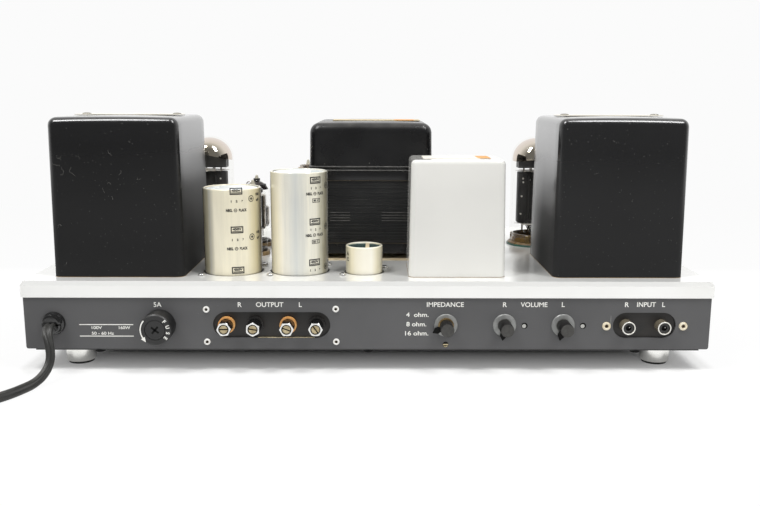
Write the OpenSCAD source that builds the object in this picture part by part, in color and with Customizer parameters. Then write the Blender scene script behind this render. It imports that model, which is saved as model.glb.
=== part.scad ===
/* [Chassis] */
// Margin of the top plate beside each output transformer cover
side_margin = 17.2; // [12:0.1:40]
// Depth of the top plate from its rear edge to its front edge
plate_d = 238; // [220:1:300]
// Height of the top plate's upright lip
lip_h = 8.1; // [5:0.1:14]
// Height of the bevel above the lip
bevel_h = 2.9; // [2:0.1:5]
// Width of the bevel
bevel_w = 1.6; // [0.5:0.1:4]
// Thickness of the top plate
plate_t = 2.5; // [1.5:0.1:4]
// Thickness of the lip
lip_t = 3; // [2.8:0.1:5]
// Height of the walls below the lip
wall_h = 35.4; // [32:0.1:60]
// Thickness of the wall sheet
wall_t = 1.6; // [1:0.1:2.5]
// Setback of the walls behind the lip
wall_in = 1; // [0.5:0.1:2]
// Width of the flanges folded inwards from the walls
flange_w = 12; // [8:0.5:18]
// Radius of the lower corners of the front and rear walls
wall_r = 1.5; // [0.5:0.1:4]
// Thickness of the bottom plate
bottom_t = 1.1; // [0.8:0.1:2]
// Setback of the bottom plate from the side walls
bottom_in = 6; // [3:0.5:10]
// Setback of the bottom plate from the front and rear walls
bottom_back = 1; // [0.5:0.1:4]
// Length of a vent slot in the bottom plate
vent_l = 44; // [20:1:50]
// Width of a vent slot
vent_w = 4; // [2:0.5:6]
// Distance between vent slots
vent_pitch = 12; // [8:0.5:16]
// Vent slots in each row
vents = 7; // [3:1:9]

/* [Feet] */
// Height of a foot with its pad
foot_h = 14.2; // [10:0.1:25]
// Diameter of a foot at the top
foot_top_d = 21.5; // [18:0.1:30]
// Diameter of a foot at the bottom
foot_low_d = 17; // [15:0.1:20]
// Radius of the lower edge of a foot
foot_r = 2; // [0.5:0.1:3]
// Distance of a foot's axis from the plate's side edge
foot_in_x = 29.5; // [20:0.5:45]
// Distance of a foot's axis from the plate's front or rear edge
foot_in_y = 24; // [16:0.5:40]
// Diameter of the rubber pad
pad_d = 12; // [8:0.1:12]
// Thickness of the rubber pad
pad_t = 2.2; // [1.5:0.1:4]
// Depth of the pad's recess in the foot
pad_deep = 1; // [0.5:0.1:1.4]

/* [Output transformers] */
// Width of an output transformer cover at its base
out_w = 88; // [75:0.5:100]
// Depth of an output transformer cover at its base
out_d = 94; // [75:0.5:100]
// Height of an output transformer cover
out_h = 107; // [90:0.5:130]
// Corner radius of an output transformer cover
out_r = 5.5; // [4:0.5:14]
// Radius of the top edge of an output transformer cover
out_top_r = 5.5; // [2:0.5:8]
// Draft of the covers' sides in degrees
out_draft = 0.5; // [0:0.1:2]
// Distance of the cover from the plate's rear edge
out_y = 13; // [8:0.5:20]
// Place of the two covers right of the plate's middle
cover_off = 0.5; // [-2:0.1:2]
// Gap between the wide can and the left cover
cover_gap = 10.2; // [5:0.1:25]
// Width of an output transformer core
out_core_w = 66; // [40:0.5:68]
// Stack depth of an output transformer core
out_core_d = 46; // [30:0.5:60]
// Height of an output transformer core
out_core_h = 80; // [50:0.5:86]
// Bulge of the coil past the core, front and rear
out_coil = 12; // [6:0.5:14]

/* [Choke] */
// Width of the choke cover at its base
choke_w = 65.5; // [50:0.1:80]
// Depth of the choke cover at its base
choke_d = 52; // [42:0.5:70]
// Height of the choke cover
choke_h = 79.2; // [60:0.1:100]
// Corner radius of the choke cover
choke_r = 4; // [2:0.5:8]
// Radius of the top edge of the choke cover
choke_top_r = 3; // [1:0.5:4]
// Draft of the choke cover in degrees
choke_draft = 0.9; // [0:0.1:2]
// Distance of the choke cover from the plate's rear edge
choke_y = 14.3; // [8:0.1:25]
// Gap between the small can and the choke cover
choke_gap = 17.5; // [5:0.5:30]
// Width of the choke core
choke_core_w = 50; // [30:0.5:53]
// Stack depth of the choke core
choke_core_d = 26; // [16:0.5:30]
// Height of the choke core
choke_core_h = 60; // [40:0.5:66]
// Bulge of the choke coil past the core, front and rear
choke_coil = 8; // [4:0.5:9]
// Thickness of the transformer covers' sheet
cover_t = 1.2; // [0.8:0.1:2]

/* [Power transformer] */
// Width of the power transformer
mains_w = 91; // [78:0.5:100]
// Depth of the power transformer
mains_d = 105; // [90:0.5:120]
// Place of the power transformer right of the plate's middle
mains_off = 1.3; // [-2:0.1:2]
// Gap between the choke cover and the power transformer
mains_gap = 12.7; // [6:0.1:25]
// Height of the legs under the lower clamp
mains_leg_h = 4.1; // [2:0.1:10]
// Side of a leg
mains_leg_w = 14; // [11:0.5:20]
// Height of the lower clamp
clamp_low_h = 8; // [4:0.1:12]
// Height of the lamination stack
stack_h = 47; // [30:0.5:60]
// Height of the upper clamp
clamp_top_h = 7; // [4:0.1:12]
// Height of the cover's flange
mains_flange_h = 4; // [2:0.1:6]
// Height of the cover above its flange
mains_cover_h = 31.5; // [20:0.5:45]
// Corner radius of the cover
mains_r = 7; // [4:0.5:12]
// Radius of the cover's top edge
mains_top_r = 7; // [2:0.5:8]
// Draft of the cover in degrees
mains_draft = 0.8; // [0:0.1:4]
// Number of lamination packs that show as lines
packs = 12; // [4:1:16]
// Depth of the lines between the packs
pack_groove = 0.4; // [0.2:0.1:0.8]
// Setback of the stack from the clamps
stack_in = 0.6; // [0.2:0.1:2]
// Diameter of the clamp bolts
bolt_d = 4; // [3:0.1:5]
// Distance of a bolt from the transformer's sides
bolt_in = 6.5; // [5:0.1:10]

/* [Capacitor cans] */
// Diameter of the wide can
can_wide_d = 40; // [30:0.1:46]
// Height of the wide can above the plate
can_wide_h = 58.8; // [40:0.1:90]
// Diameter of the tall can
can_tall_d = 39.6; // [30:0.1:46]
// Height of the tall can above the plate
can_tall_h = 70.2; // [40:0.1:90]
// Diameter of the small can
can_small_d = 25.8; // [18:0.1:30]
// Height of the small can above the plate
can_small_h = 19; // [10:0.5:40]
// Gap between the wide and the tall can
can_gap = 6.8; // [5:0.1:20]
// Gap between the tall and the small can
can_small_gap = 12.3; // [6:0.1:20]
// Place of the small can's axis left of the middle
can_small_off = 3; // [-5:0.5:8]
// Distance of the cans' axes from the plate's rear edge
can_y = 37.7; // [32:0.1:45]
// Distance of the small can's axis from the plate's rear edge
can_small_y = 34.2; // [30:0.1:45]
// Gap round each can in the plate
can_hole_gap = 1.2; // [0.5:0.1:2]
// Length of the cans below the plate
can_below = 14; // [6:0.5:20]
// Width of the ears under the plate that take the cans' screws
can_ear = 7.6; // [6:0.1:9]
// Thickness of the mounting flange
can_flange_t = 1.2; // [0.8:0.1:2]
// Width of the rolled rim on top
can_rim = 1.8; // [1:0.1:3]
// Depth of the top disc below the rim
can_dish = 0.8; // [0.4:0.1:1.5]
// Thickness of the top disc
can_disc_t = 1.5; // [1:0.1:3]
// Distance of a mounting screw from the can's side
can_screw_off = 6.6; // [5:0.1:8]

/* [Power tubes] */
// Diameter of a power tube
tube_d = 39; // [30:0.5:42]
// Height of a power tube's glass
tube_h = 81.4; // [65:0.1:110]
// Diameter of the flat glass base
tube_base_d = 26; // [20:0.5:28]
// Height of the rounding above the glass base
tube_foot_h = 10; // [6:0.5:16]
// Height of the dome
tube_dome_h = 17; // [8:0.5:24]
// Thickness of the glass
glass_t = 1; // [0.6:0.1:1.5]
// Distance between the two tubes of a side
tube_pitch = 54; // [50:0.5:60]
// Place of the pair inwards of its transformer's middle
tube_shift = 8.5; // [0:0.5:9]
// Place of the power tubes right of the plate's middle
tube_off = 2.4; // [-3:0.1:3]
// Gap between the output transformer covers and the tubes
tube_gap = 23.5; // [12:0.5:40]
// Diameter of a tube socket's plate
socket_d = 42; // [34:0.5:46]
// Thickness of the socket's plate
socket_plate_t = 1.2; // [0.8:0.1:2]
// Diameter of the socket's collar
socket_collar_d = 29; // [24:0.5:32]
// Height of the socket above the plate
socket_h = 7.2; // [4:0.1:12]
// Length of the socket below the plate
socket_below = 8; // [4:0.5:12]
// Width of an anode
anode_w = 25; // [16:0.5:26]
// Depth of an anode
anode_d = 13; // [8:0.5:18]
// Height of an anode
anode_h = 41.5; // [25:0.5:42]
// Height of the anode's lower end above the glass base
anode_z = 11; // [8:0.5:22]
// Height of the cooling box on top of the anode
fin_h = 11.5; // [3:0.5:14]
// Diameter of the mica spacers
mica_d = 34; // [20:0.5:35]
// Thickness of the mica spacers
mica_t = 0.8; // [0.5:0.1:1.2]
// Diameter of the wires under the anode
wire_d = 1.2; // [0.8:0.1:2]

/* [Small tubes] */
// Diameter of a small tube
small_d = 21; // [18:0.1:22]
// Height of the glass of the inner small tubes
small_in_h = 61; // [50:0.5:80]
// Distance of the inner small tubes from the middle
small_in_x = 55; // [30:0.5:70]
// Distance of the inner small tubes from the plate's rear edge
small_in_y = 208; // [200:0.5:212]
// Height of the glass of the outer small tubes
small_out_h = 53.5; // [46:0.5:80]
// Distance of the rear ones of the outer small tubes from the middle
small_out_x = 89; // [70:0.5:92]
// Step outwards from the rear to the front ones
small_step = 2.5; // [0:0.5:4]
// Distance of the rear ones from the plate's rear edge
small_rear_y = 100; // [92:0.5:108]
// Distance of the front ones from the plate's rear edge
small_front_y = 140; // [134:0.5:170]
// Diameter of a small tube's socket
small_socket_d = 24; // [22:0.1:26]
// Height of the small socket above the plate
small_socket_h = 5; // [3:0.1:8]

/* [Rear controls] */
// Height of the controls' axes above the wall's lower edge
ctrl_h = 16.6; // [15:0.1:18]
// Place of the output terminals left of the middle
output_off = 64.4; // [58:0.1:70]
// Place of the fuse holder left of the middle
fuse_off = 138.9; // [130:0.1:150]
// Place of the selector right of the middle
selector_off = 52.1; // [40:0.1:56]
// Step from the selector to the right volume control, and on to the left one
volume_step = 39.2; // [34:0.1:40]
// Distance of the input jacks' middle from the plate's side edge
input_in = 45; // [42:0.1:52]
// Diameter of the board screws
screw_d = 2.8; // [2:0.1:3]
// Diameter of the board screws' heads
screw_head_d = 5.4; // [4.5:0.1:6]
// Height of the board screws' heads
screw_head_h = 1.5; // [1:0.1:2.5]
// Thickness of the terminal and jack boards
board_t = 3; // [2:0.1:4]

/* [Output terminals] */
// Distance between the terminals of a pair
pair_pitch = 19; // [16:0.1:20]
// Distance between the middles of the two pairs
pairs_gap = 41.1; // [38:0.1:44]
// Length of the slot round the terminals
output_slot_w = 78.3; // [74:0.1:79]
// Height of the slot round the terminals
output_slot_h = 17.7; // [14:0.1:18]
// Distance between the board screws along the wall
output_screw_w = 86.7; // [86:0.1:95]
// Distance between the board screws up the wall
output_screw_h = 22.5; // [21:0.1:23]
// Margin of the boards beyond their screws
board_margin = 2.2; // [1.8:0.1:3]
// Diameter of the insulating rings
ring_d = 11.3; // [9:0.1:13]
// Reach of the rings outside the wall
ring_out = 1.2; // [0.5:0.1:3]
// Diameter of the studs
stud_d = 5.8; // [4:0.1:6]
// Length of the studs behind the board
stud_tail = 10; // [5:0.5:12]
// Width of a nut across its corners
nut_d = 9.7; // [8.5:0.1:12]
// Reach of the nuts outside the wall
nut_out = 12; // [8:0.1:13]
// Depth of the stud's end inside the nut
stud_sunk = 0.4; // [0.2:0.1:2]
// Width of the screwdriver slots
slot_w = 0.9; // [0.6:0.1:1.2]
// Depth of the screwdriver slots
slot_deep = 0.9; // [0.5:0.1:1.2]

/* [Input jacks] */
// Distance between the jacks
jack_pitch = 23.3; // [18:0.1:24]
// Length of the slot round the jacks
input_slot_w = 42.2; // [40:0.1:44]
// Height of the slot round the jacks
input_slot_h = 17.5; // [14:0.1:19]
// Distance between the jack board's screws
input_screw_w = 51.4; // [50:0.1:54]
// Height of the jack board
input_board_h = 23; // [21:0.1:25]
// Outer diameter of a jack's shell
jack_d = 8.4; // [8:0.05:9]
// Wall of a jack's shell
jack_t = 0.7; // [0.5:0.1:1]
// Reach of the jacks outside the wall
jack_out = 8; // [6:0.1:12]
// Diameter of the hole for the plug's pin
jack_pin_d = 3.3; // [3.1:0.05:3.6]
// Depth of the insulator below the shell's rim
jack_sunk = 0.6; // [0.2:0.1:1.5]
// Diameter of the threaded tail through the board
jack_tail_d = 6; // [4:0.1:7]
// Length of the tail behind the board
jack_tail = 9; // [5:0.5:14]

/* [Fuse holder] */
// Diameter of the fuse holder's body
fuse_d = 21.2; // [19:0.1:23]
// Reach of the fuse holder outside the wall
fuse_out = 13.7; // [13.2:0.1:18]
// Diameter of the fuse holder's barrel behind the wall
fuse_barrel_d = 17; // [16:0.1:18]
// Length of the barrel behind the wall
fuse_barrel = 30; // [27:0.5:36]
// Diameter of the fuse cap
fuse_cap_d = 13; // [11:0.1:13.4]
// Length of the fuse cap
fuse_cap_h = 7; // [5:0.1:8]
// Diameter of the fuse carrier
carrier_d = 10; // [9:0.1:10.4]
// Diameter of the pin on which the cap turns
carrier_pin_d = 4; // [3:0.1:5]
// Length of that pin
carrier_pin = 4; // [2:0.1:4.5]
// Diameter of the glass fuse
fuse_glass_d = 6.3; // [5:0.1:6.4]
// Length of the glass fuse
fuse_glass_l = 30; // [20:0.5:30]
// Length of the cross slot's arms
cross_l = 5.6; // [4:0.1:8]

/* [Selector and volume] */
// Diameter of the dial rings
dial_d = 15.5; // [13:0.1:18]
// Thickness of the dial rings
dial_t = 1.1; // [0.8:0.1:2]
// Width of the flat land at a dial ring's edge
dial_land = 1; // [0.5:0.1:1.5]
// Diameter of the knobs
knob_d = 8.4; // [8:0.1:10]
// Reach of the knobs outside the wall
knob_out = 11.8; // [10:0.1:13]
// Gap between the dial ring and the knob
knob_gap = 0.5; // [0.3:0.1:1]
// Radius of the pointer's tip
pointer_r = 9.6; // [8.5:0.1:11]
// Width of the pointer
pointer_w = 2.8; // [2:0.1:4]
// Thickness of the pointer
pointer_t = 1.6; // [1:0.1:2.5]
// Diameter of the shafts
shaft_d = 6; // [5:0.1:6.2]
// Diameter of the threaded bushes
bush_d = 8.6; // [8.2:0.1:9]
// Diameter of the selector's wafer housing
selector_d = 25; // [20:0.5:25]
// Depth of the selector's housing
selector_l = 15; // [10:0.5:25]
// Diameter of a volume control's can
pot_d = 24; // [18:0.5:24]
// Depth of a volume control's can
pot_l = 12; // [8:0.5:20]
// Distance of the locating pin from the control's axis
pot_pin_off = 13.1; // [12.8:0.1:14]
// Diameter of the locating pin
pot_pin_d = 2.2; // [1.5:0.1:2.6]
// Diameter of the locating pin's hole
pot_hole_d = 3.6; // [3.2:0.1:4]
// Drop of the slotted brass screw below the selector's axis
trim_drop = 13.1; // [12:0.1:13.2]
// Diameter of the slotted brass screw
trim_d = 3.2; // [2:0.1:3.4]

/* [Power switch] */
// Distance of the switch from the plate's side edge, on the front wall
switch_in = 50; // [40:0.5:80]
// Step from the switch to the lamp
lamp_step = 32; // [28:0.5:70]
// Width of the switch body
switch_w = 14; // [13:0.1:18]
// Height of the switch body
switch_h = 22; // [16:0.1:25]
// Depth of the switch body
switch_l = 20; // [12:0.5:30]
// Diameter of the switch's bush
switch_bush_d = 11.5; // [11:0.1:12]
// Reach of the bush outside the wall
switch_bush_out = 7; // [5:0.1:9]
// Depth of the lever's pivot inside the bush
pivot_deep = 3.5; // [3:0.1:4.5]
// Diameter of the lever's pivot ball
pivot_ball_d = 6.4; // [5:0.1:7]
// Diameter of the pivot pin
pivot_pin_d = 2; // [1.5:0.1:2.4]
// Length of the lever from its pivot to its tip's middle
lever_l = 12; // [9:0.1:18]
// Diameter of the lever
lever_d = 3; // [2:0.1:3.4]
// Diameter of the lever's round tip
lever_tip_d = 4.6; // [3.6:0.1:6]
// Tilt of the lever from the bush's axis in degrees
lever_tilt = 12; // [8:1:14]
// Diameter of the lamp's bezel
lamp_d = 13; // [10:0.1:16]
// Diameter of the lamp's lens
lens_d = 8; // [6:0.1:9]
// Height of the lamp outside the wall
lamp_out = 6; // [4:0.1:9]
// Length of the lamp behind the wall
lamp_tail = 18; // [10:0.5:25]

/* [Driver board] */
// Width of the driver board
driver_w = 84; // [60:1:86]
// Depth of the driver board
driver_d = 68; // [56:1:72]
// Thickness of the driver board
driver_t = 1.6; // [1:0.1:2]
// Distance of the driver board from the plate's rear edge
driver_y = 98; // [95:0.5:104]
// Drop of the driver board below the plate
driver_drop = 20; // [15:0.5:28]
// Diameter of the driver board's spacers
spacer_d = 6; // [4:0.1:7]

/* [Mains cord] */
// Width of the flat twin cord
cord_w = 6.6; // [5:0.1:7]
// Thickness of the flat twin cord
cord_t = 3.3; // [2.5:0.1:3.5]
// Distance of the cord bush from the plate's side edge
bush_in = 20.5; // [18:0.1:24]
// Height of the cord bush above the other controls
bush_rise = 1.1; // [0:0.1:1.5]
// Diameter of the cord bush's flange
gland_d = 15.6; // [13:0.1:18]
// Thickness of the cord bush's flange
gland_flange_t = 2.4; // [1.5:0.1:3.5]
// Reach of the cord bush outside the wall
gland_out = 6; // [5:0.1:10]
// Diameter of the cord bush's nose
gland_nose_d = 10.4; // [9:0.1:12]
// Diameter of the cord bush's barrel in the wall
gland_barrel_d = 12; // [10.5:0.1:12.5]
// Length of the cord bush behind the wall
gland_tail = 14; // [8:0.5:20]
// Turns in each of the coil's two layers
coil_turns = 3; // [2:1:4]
// Diameter of the coil at the middle of its turns
coil_d = 76; // [66:1:79]
// Gap between neighbouring turns
coil_gap = 0.6; // [0.5:0.05:1]
// Extra dip inwards where the coil climbs to its second layer
coil_dip = 2; // [1.8:0.1:3]
// Length of the plug's strain relief
plug_relief = 22; // [18:0.5:30]
// Length of the plug's body
plug_l = 30; // [24:0.5:36]
// Width of the plug's body
plug_w = 26; // [24:0.5:30]
// Length of the plug's blades
blade_l = 17; // [15:0.1:18.5]
// Width of the plug's blades
blade_w = 6.3; // [6:0.1:6.5]
// Thickness of the plug's blades
blade_t = 1.5; // [1.3:0.1:1.6]
// Distance between the plug's blades
blade_pitch = 12.7; // [12.5:0.1:12.9]
// Diameter of the hole near each blade's end
blade_hole_d = 3; // [2:0.1:3.5]

/* [Clearances] */
// Radial clearance of a shaft that turns in its bore
run_gap = 0.05; // [0.02:0.01:0.09]
// Clearance between pieces that move past each other
move_gap = 0.3; // [0.3:0.05:0.6]
// Radial clearance of a fixed piece in its hole
fix_gap = 0.1; // [0.05:0.05:0.2]

/* [Hidden] */
$fn = 48;
hull_fn = 32;
cut = 1;

// Places across the plate, from the small can outwards
can_flat = can_gap / 2 - 2 * fix_gap;
can_small_x = -can_small_off;
can_tall_x = can_small_x - can_small_d / 2 - can_small_gap - can_tall_d / 2;
can_wide_x = can_tall_x - can_tall_d / 2 - can_gap - can_wide_d / 2;
cover_in = can_wide_d / 2 + cover_gap - can_wide_x;
out_x = cover_in + out_w / 2;
choke_x = can_small_x + can_small_d / 2 + choke_gap + choke_w / 2;
plate_w = 2 * (cover_in + out_w + side_margin);
wall_w = plate_w - 2 * wall_in;

// Heights from the floor up
z_wall = foot_h + bottom_t;
z_lip = z_wall + wall_h;
rim_h = lip_h + bevel_h;
z_top = z_lip + rim_h;
z_ctrl = z_wall + ctrl_h;

// The origin is under the middle of the whole amplifier, knobs and lever included
lever_reach = switch_bush_out - pivot_deep + lever_l * cos(lever_tilt) + lever_tip_d / 2;
front_reach = max(lever_reach, lamp_out) - wall_in;
rear_reach = max(fuse_out, nut_out, knob_out, jack_out, gland_out) - wall_in;
y_rear = (rear_reach - front_reach - plate_d) / 2;
y_front = y_rear + plate_d;
y_rear_wall = y_rear + wall_in;
y_front_wall = y_front - wall_in;

// Places along the plate, from its rear edge
mains_y = choke_y + choke_d + mains_gap + mains_d / 2;
tube_y = out_y + out_d + tube_gap + tube_d / 2;
tube_xs = [for (s = [-1, 1]) out_x - tube_shift + s * tube_pitch / 2];
small_spots = [
    [small_in_x, small_in_y, small_in_h],
    [small_out_x, small_rear_y, small_out_h],
    [small_out_x + small_step, small_front_y, small_out_h]
];
bolt_spots = [for (sx = [-1, 1], sy = [-1, 1]) [mains_off + sx * (mains_w / 2 - bolt_in),
    mains_y + sy * (mains_d / 2 - bolt_in)]];
mains_base = mains_leg_h + clamp_low_h;
mains_high = mains_base + stack_h + clamp_top_h;

// The three cans as place, diameter, height, the angles of their screws, and the way from the rear edge
cans = [
    [can_wide_x, can_wide_d, can_wide_h, [224, 44], can_y],
    [can_tall_x, can_tall_d, can_tall_h, [224, 44], can_y],
    [can_small_x, can_small_d, can_small_h, [222, 42], can_small_y]
];

// Places on the rear wall
output_x = -output_off;
fuse_x = -fuse_off;
selector_x = selector_off;
volume_xs = [selector_off + volume_step, selector_off + 2 * volume_step];
input_x = plate_w / 2 - input_in;
switch_x = switch_in - plate_w / 2;
lamp_x = switch_x + lamp_step;
bush_x = bush_in - plate_w / 2;
terminal_xs = [for (p = [-1, 1], s = [-1, 1]) output_x + p * pairs_gap / 2 + s * pair_pitch / 2];
jack_xs = [for (s = [-1, 1]) input_x + s * jack_pitch / 2];
output_screw_spots = [for (sx = [-1, 1], sz = [-1, 1]) [sx * output_screw_w / 2,
    sz * output_screw_h / 2]];
nut_turns = [5, 28, 2, 0];
slot_turns = [0, -10, -20, -55];

// Directions of the pointers, counter-clockwise from the right as seen from the rear
selector_aim = 207;
volume_aims = [261, 256];

// Bores that follow from the pieces in them
nut_bore = stud_d + 2 * run_gap;
fuse_bore_d = fuse_cap_d + 2 * move_gap;
fuse_floor = 2;
cap_in = 0.2;
carrier_end = fuse_out - cap_in - fuse_cap_h - move_gap;
carrier_back = carrier_end - fuse_glass_l - 2;
knob_base = dial_t + knob_gap;
shaft_tail = 9;
knob_wall = 2.4;

// The mains cord's free stretch from the bush's nose: the way right, the way back and the share of the
// bush's height above the floor, then the direction of the cord's broad side
cord_points = [
    [[0, 0, 1], [1, 0, 0]],
    [[0.2, -3.5, 1], [1, 0, 0]],
    [[0.8, -7.5, 0.96], [1, 0, 0]],
    [[2, -10.5, 0.87], [1, 0, 0]],
    [[3.2, -12, 0.77], [1, 0, 0]],
    [[4.2, -13, 0.66], [1, 0, 0]],
    [[5, -13.8, 0.54], [1, 0, 0]],
    [[5.4, -15, 0.42], [1, 0, 0.1]],
    [[5, -17, 0.3], [1, 0, 0.3]],
    [[3.8, -20, 0.19], [1, 0, 0.7]],
    [[2, -24, 0.09], [0.7, 0, 1]],
    [[0, -28.5, 0.03], [0.3, 0, 1]],
    [[-2, -33.5, 0], [0, 0, 1]],
    [[-4.6, -41, 0], [0, 0, 1]],
    [[-7.8, -48.2, 0], [0, 0, 1]],
    [[-12, -55, 0], [0, 0, 1]],
    [[-17.5, -62.5, 0], [0, 0, 1]],
    [[-23.5, -71, 0], [0, 0, 1]]
];
cord_low = cord_w / 2;
cord_from = [bush_x, y_rear_wall - gland_out, z_ctrl + bush_rise];
function cord_place(p) = [cord_from[0] + p[0], cord_from[1] + p[1],
    cord_low + p[2] * (cord_from[2] - cord_low)];
cord_steps = 3;
upright = [0, 0, 1];

// The coil winds clockwise inwards on the floor, climbs, and winds outwards on top
coil_left = 69.5;
coil_back = 60;
coil_mid = [cord_from[0] - coil_left, cord_from[1] - coil_back];
coil_from = -35.5;
coil_step = 15;
coil_pitch = cord_t + coil_gap;
coil_out_r = coil_d / 2 + coil_pitch * coil_turns / 2;
coil_in_r = coil_out_r - coil_pitch * coil_turns;
coil_low_z = cord_low;
coil_top_z = coil_low_z + cord_w + coil_gap;
climb_from = 360 * coil_turns;
climb_turn = 180;
coil_sweep = 2 * climb_from + climb_turn;
coil_end_aim = coil_from - coil_sweep - 90;
plug_h = 2 * coil_top_z;

function unit(v) = v / norm(v);
function heading(a) = [cos(a), sin(a), 0];
function coil_r(a) = a < climb_from ? coil_out_r - coil_pitch * a / 360
    : a < climb_from + climb_turn ? coil_in_r - coil_dip * sin(a - climb_from)
    : coil_in_r + coil_pitch * (a - climb_from - climb_turn) / 360;
function coil_z(a) = let (f = min(max((a - climb_from) / climb_turn, 0), 1))
    coil_low_z + (coil_top_z - coil_low_z) * (1 - cos(180 * f)) / 2;
function coil_at(a) = [
    coil_mid[0] + coil_r(a) * cos(coil_from - a),
    coil_mid[1] + coil_r(a) * sin(coil_from - a),
    coil_z(a)
];
coil_first = coil_at(0) - cord_w * heading(coil_from - 90);
plug_lead = 16;
coil_last = coil_at(coil_sweep) + plug_lead * heading(coil_end_aim);
coil_path = concat([coil_first], [for (a = [0:coil_step:coil_sweep]) coil_at(a)], [coil_last]);

// A smooth curve through points that are chosen by hand
function curve(a, b, c, d, t) = b + (c - a) * t / 2 + (2 * a - 5 * b + 4 * c - d) * t * t / 2
    + (3 * b - a - 3 * c + d) * t * t * t / 2;
function smoothed(p, k) = let (n = len(p) - 1) concat(
    [for (i = [0:n - 1], j = [0:k - 1]) curve(p[max(i - 1, 0)], p[i], p[i + 1], p[min(i + 2, n)], j / k)],
    [p[n]]);
cord_route = smoothed(concat([for (p = cord_points) cord_place(p[0])], [coil_first]), cord_steps);
cord_sides = smoothed(concat([for (p = cord_points) p[1]], [upright]), cord_steps);

// Cross-sections of the flat cord, broad side first
cord_section = [for (a = [0:36:324]) [cord_w / 2 * cos(a), cord_t / 2 * sin(a)]];
coil_section = [for (a = [0:60:300]) [cord_w / 2 * cos(a), cord_t / 2 * sin(a) / sin(60)]];

// Rings of points round a path, with the broad side along the given directions
function ring_at(path, sides, section, i) = let (
    n = len(path) - 1,
    t = unit(path[min(i + 1, n)] - path[max(i - 1, 0)]),
    w = unit(sides[i] - (sides[i] * t) * t),
    s = cross(t, w)
) [for (q = section) path[i] + w * q[0] + s * q[1]];
function rings(path, sides, section) = [for (i = [0:len(path) - 1]) ring_at(path, sides, section, i)];

// Least distance between rings that lie at least half a turn apart along the coil
function ring_gap(a, b) = min([for (p = a, q = b) norm(p - q)]);
function coil_gap_measured(r) = let (half = 12, near = 2 * cord_w) min([
    for (i = [0:len(r) - 1 - half], j = [i + half:len(r) - 1])
        if (norm(coil_path[i] - coil_path[j]) < near) ring_gap(r[i], r[j])
]);

module swept(r) {
    n = len(r);
    m = len(r[0]);
    last = (n - 1) * m;
    side_faces = [for (i = [0:n - 2], j = [0:m - 1], k = [0, 1]) let (
        a = i * m + j, b = i * m + (j + 1) % m, c = b + m, d = a + m
    ) k == 0 ? [a, d, c] : [a, c, b]];
    start_face = [for (j = [1:m - 2]) [0, j, j + 1]];
    end_face = [for (j = [1:m - 2]) [last, last + j + 1, last + j]];
    polyhedron([for (ring = r, p = ring) p], concat(side_faces, start_face, end_face));
}

// Local frames: on the plate's top, and outwards from the rear and the front wall
module on_plate(x, y) {
    translate([x, y_rear + y, z_top]) children();
}

module at_rear(x, z = z_ctrl) {
    translate([x, y_rear_wall, z]) rotate([90, 0, 0]) children();
}

module at_front(x, z = z_ctrl) {
    translate([x, y_front_wall, z]) rotate([-90, 0, 0]) children();
}

module obround(w, h) {
    square([w - h, h], center = true);
    for (s = [-1, 1]) translate([s * (w - h) / 2, 0]) circle(d = h);
}

module hole(d, low, high) {
    translate([0, 0, low]) cylinder(d = d, h = high - low);
}

// A pan-head screw with a cross recess, its head standing on z = 0
module pan_screw(length) {
    arm = screw_head_d * 0.5;
    difference() {
        union() {
            rotate_extrude() polygon([
                [0, 0], [screw_head_d / 2, 0], [screw_head_d / 2, screw_head_h * 0.4],
                [screw_head_d * 0.36, screw_head_h * 0.85], [screw_head_d * 0.18, screw_head_h],
                    [0, screw_head_h]
            ]);
            translate([0, 0, -length]) cylinder(d = screw_d, h = length + screw_head_h / 2);
        }
        for (turn = [0, 90]) rotate(turn) translate([-arm / 2, -slot_w / 2, screw_head_h / 2])
            cube([arm, slot_w, screw_head_h]);
    }
}

// Profile of the top plate across one of its two lengths
module plate_profile(length) {
    h = length / 2;
    polygon([[-h, 0], [h, 0], [h, lip_h], [h - bevel_w, rim_h], [bevel_w - h, rim_h], [-h, lip_h]]);
}

module can_screw_spots(c) {
    for (a = c[3]) rotate(a) translate([c[1] / 2 + can_screw_off, 0, 0]) children();
}

module top_plate() color("gainsboro") difference() {
    intersection() {
        translate([0, y_front, z_lip]) rotate([90, 0, 0]) linear_extrude(plate_d) plate_profile(plate_w);
        translate([-plate_w / 2, (y_rear + y_front) / 2, z_lip]) rotate([90, 0, 90])
            linear_extrude(plate_w) plate_profile(plate_d);
    }
    translate([lip_t - plate_w / 2, y_rear + lip_t, z_lip - cut])
        cube([plate_w - 2 * lip_t, plate_d - 2 * lip_t, rim_h - plate_t + cut]);
    for (c = cans) on_plate(c[0], c[4]) {
        hole(c[1] + 2 * can_hole_gap, -plate_t - cut, cut);
        can_screw_spots(c) hole(screw_d + 2 * fix_gap, -plate_t - cut, cut);
    }
    for (s = [-1, 1], x = tube_xs) on_plate(s * x + tube_off, tube_y)
        hole(socket_collar_d + 2 * fix_gap, -plate_t - cut, cut);
    for (s = [-1, 1], p = small_spots) on_plate(s * p[0], p[1])
        hole(small_d + 2 * fix_gap, -plate_t - cut, cut);
    for (b = bolt_spots) on_plate(b[0], b[1]) hole(bolt_d + 2 * fix_gap, -plate_t - cut, cut);
}

// A folded wall: a web with rounded lower corners and a flange along each long edge
module folded_wall() {
    rotate([90, 0, 0]) translate([0, 0, -wall_t]) linear_extrude(wall_t) {
        translate([-wall_w / 2, wall_r]) square([wall_w, wall_h - wall_r]);
        translate([wall_r - wall_w / 2, 0]) square([wall_w - 2 * wall_r, wall_r]);
        for (s = [-1, 1]) translate([s * (wall_w / 2 - wall_r), wall_r]) circle(wall_r);
    }
    for (z = [0, wall_h - wall_t]) translate([wall_t - wall_w / 2, 0, z])
        cube([wall_w - 2 * wall_t, flange_w, wall_t]);
}

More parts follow.
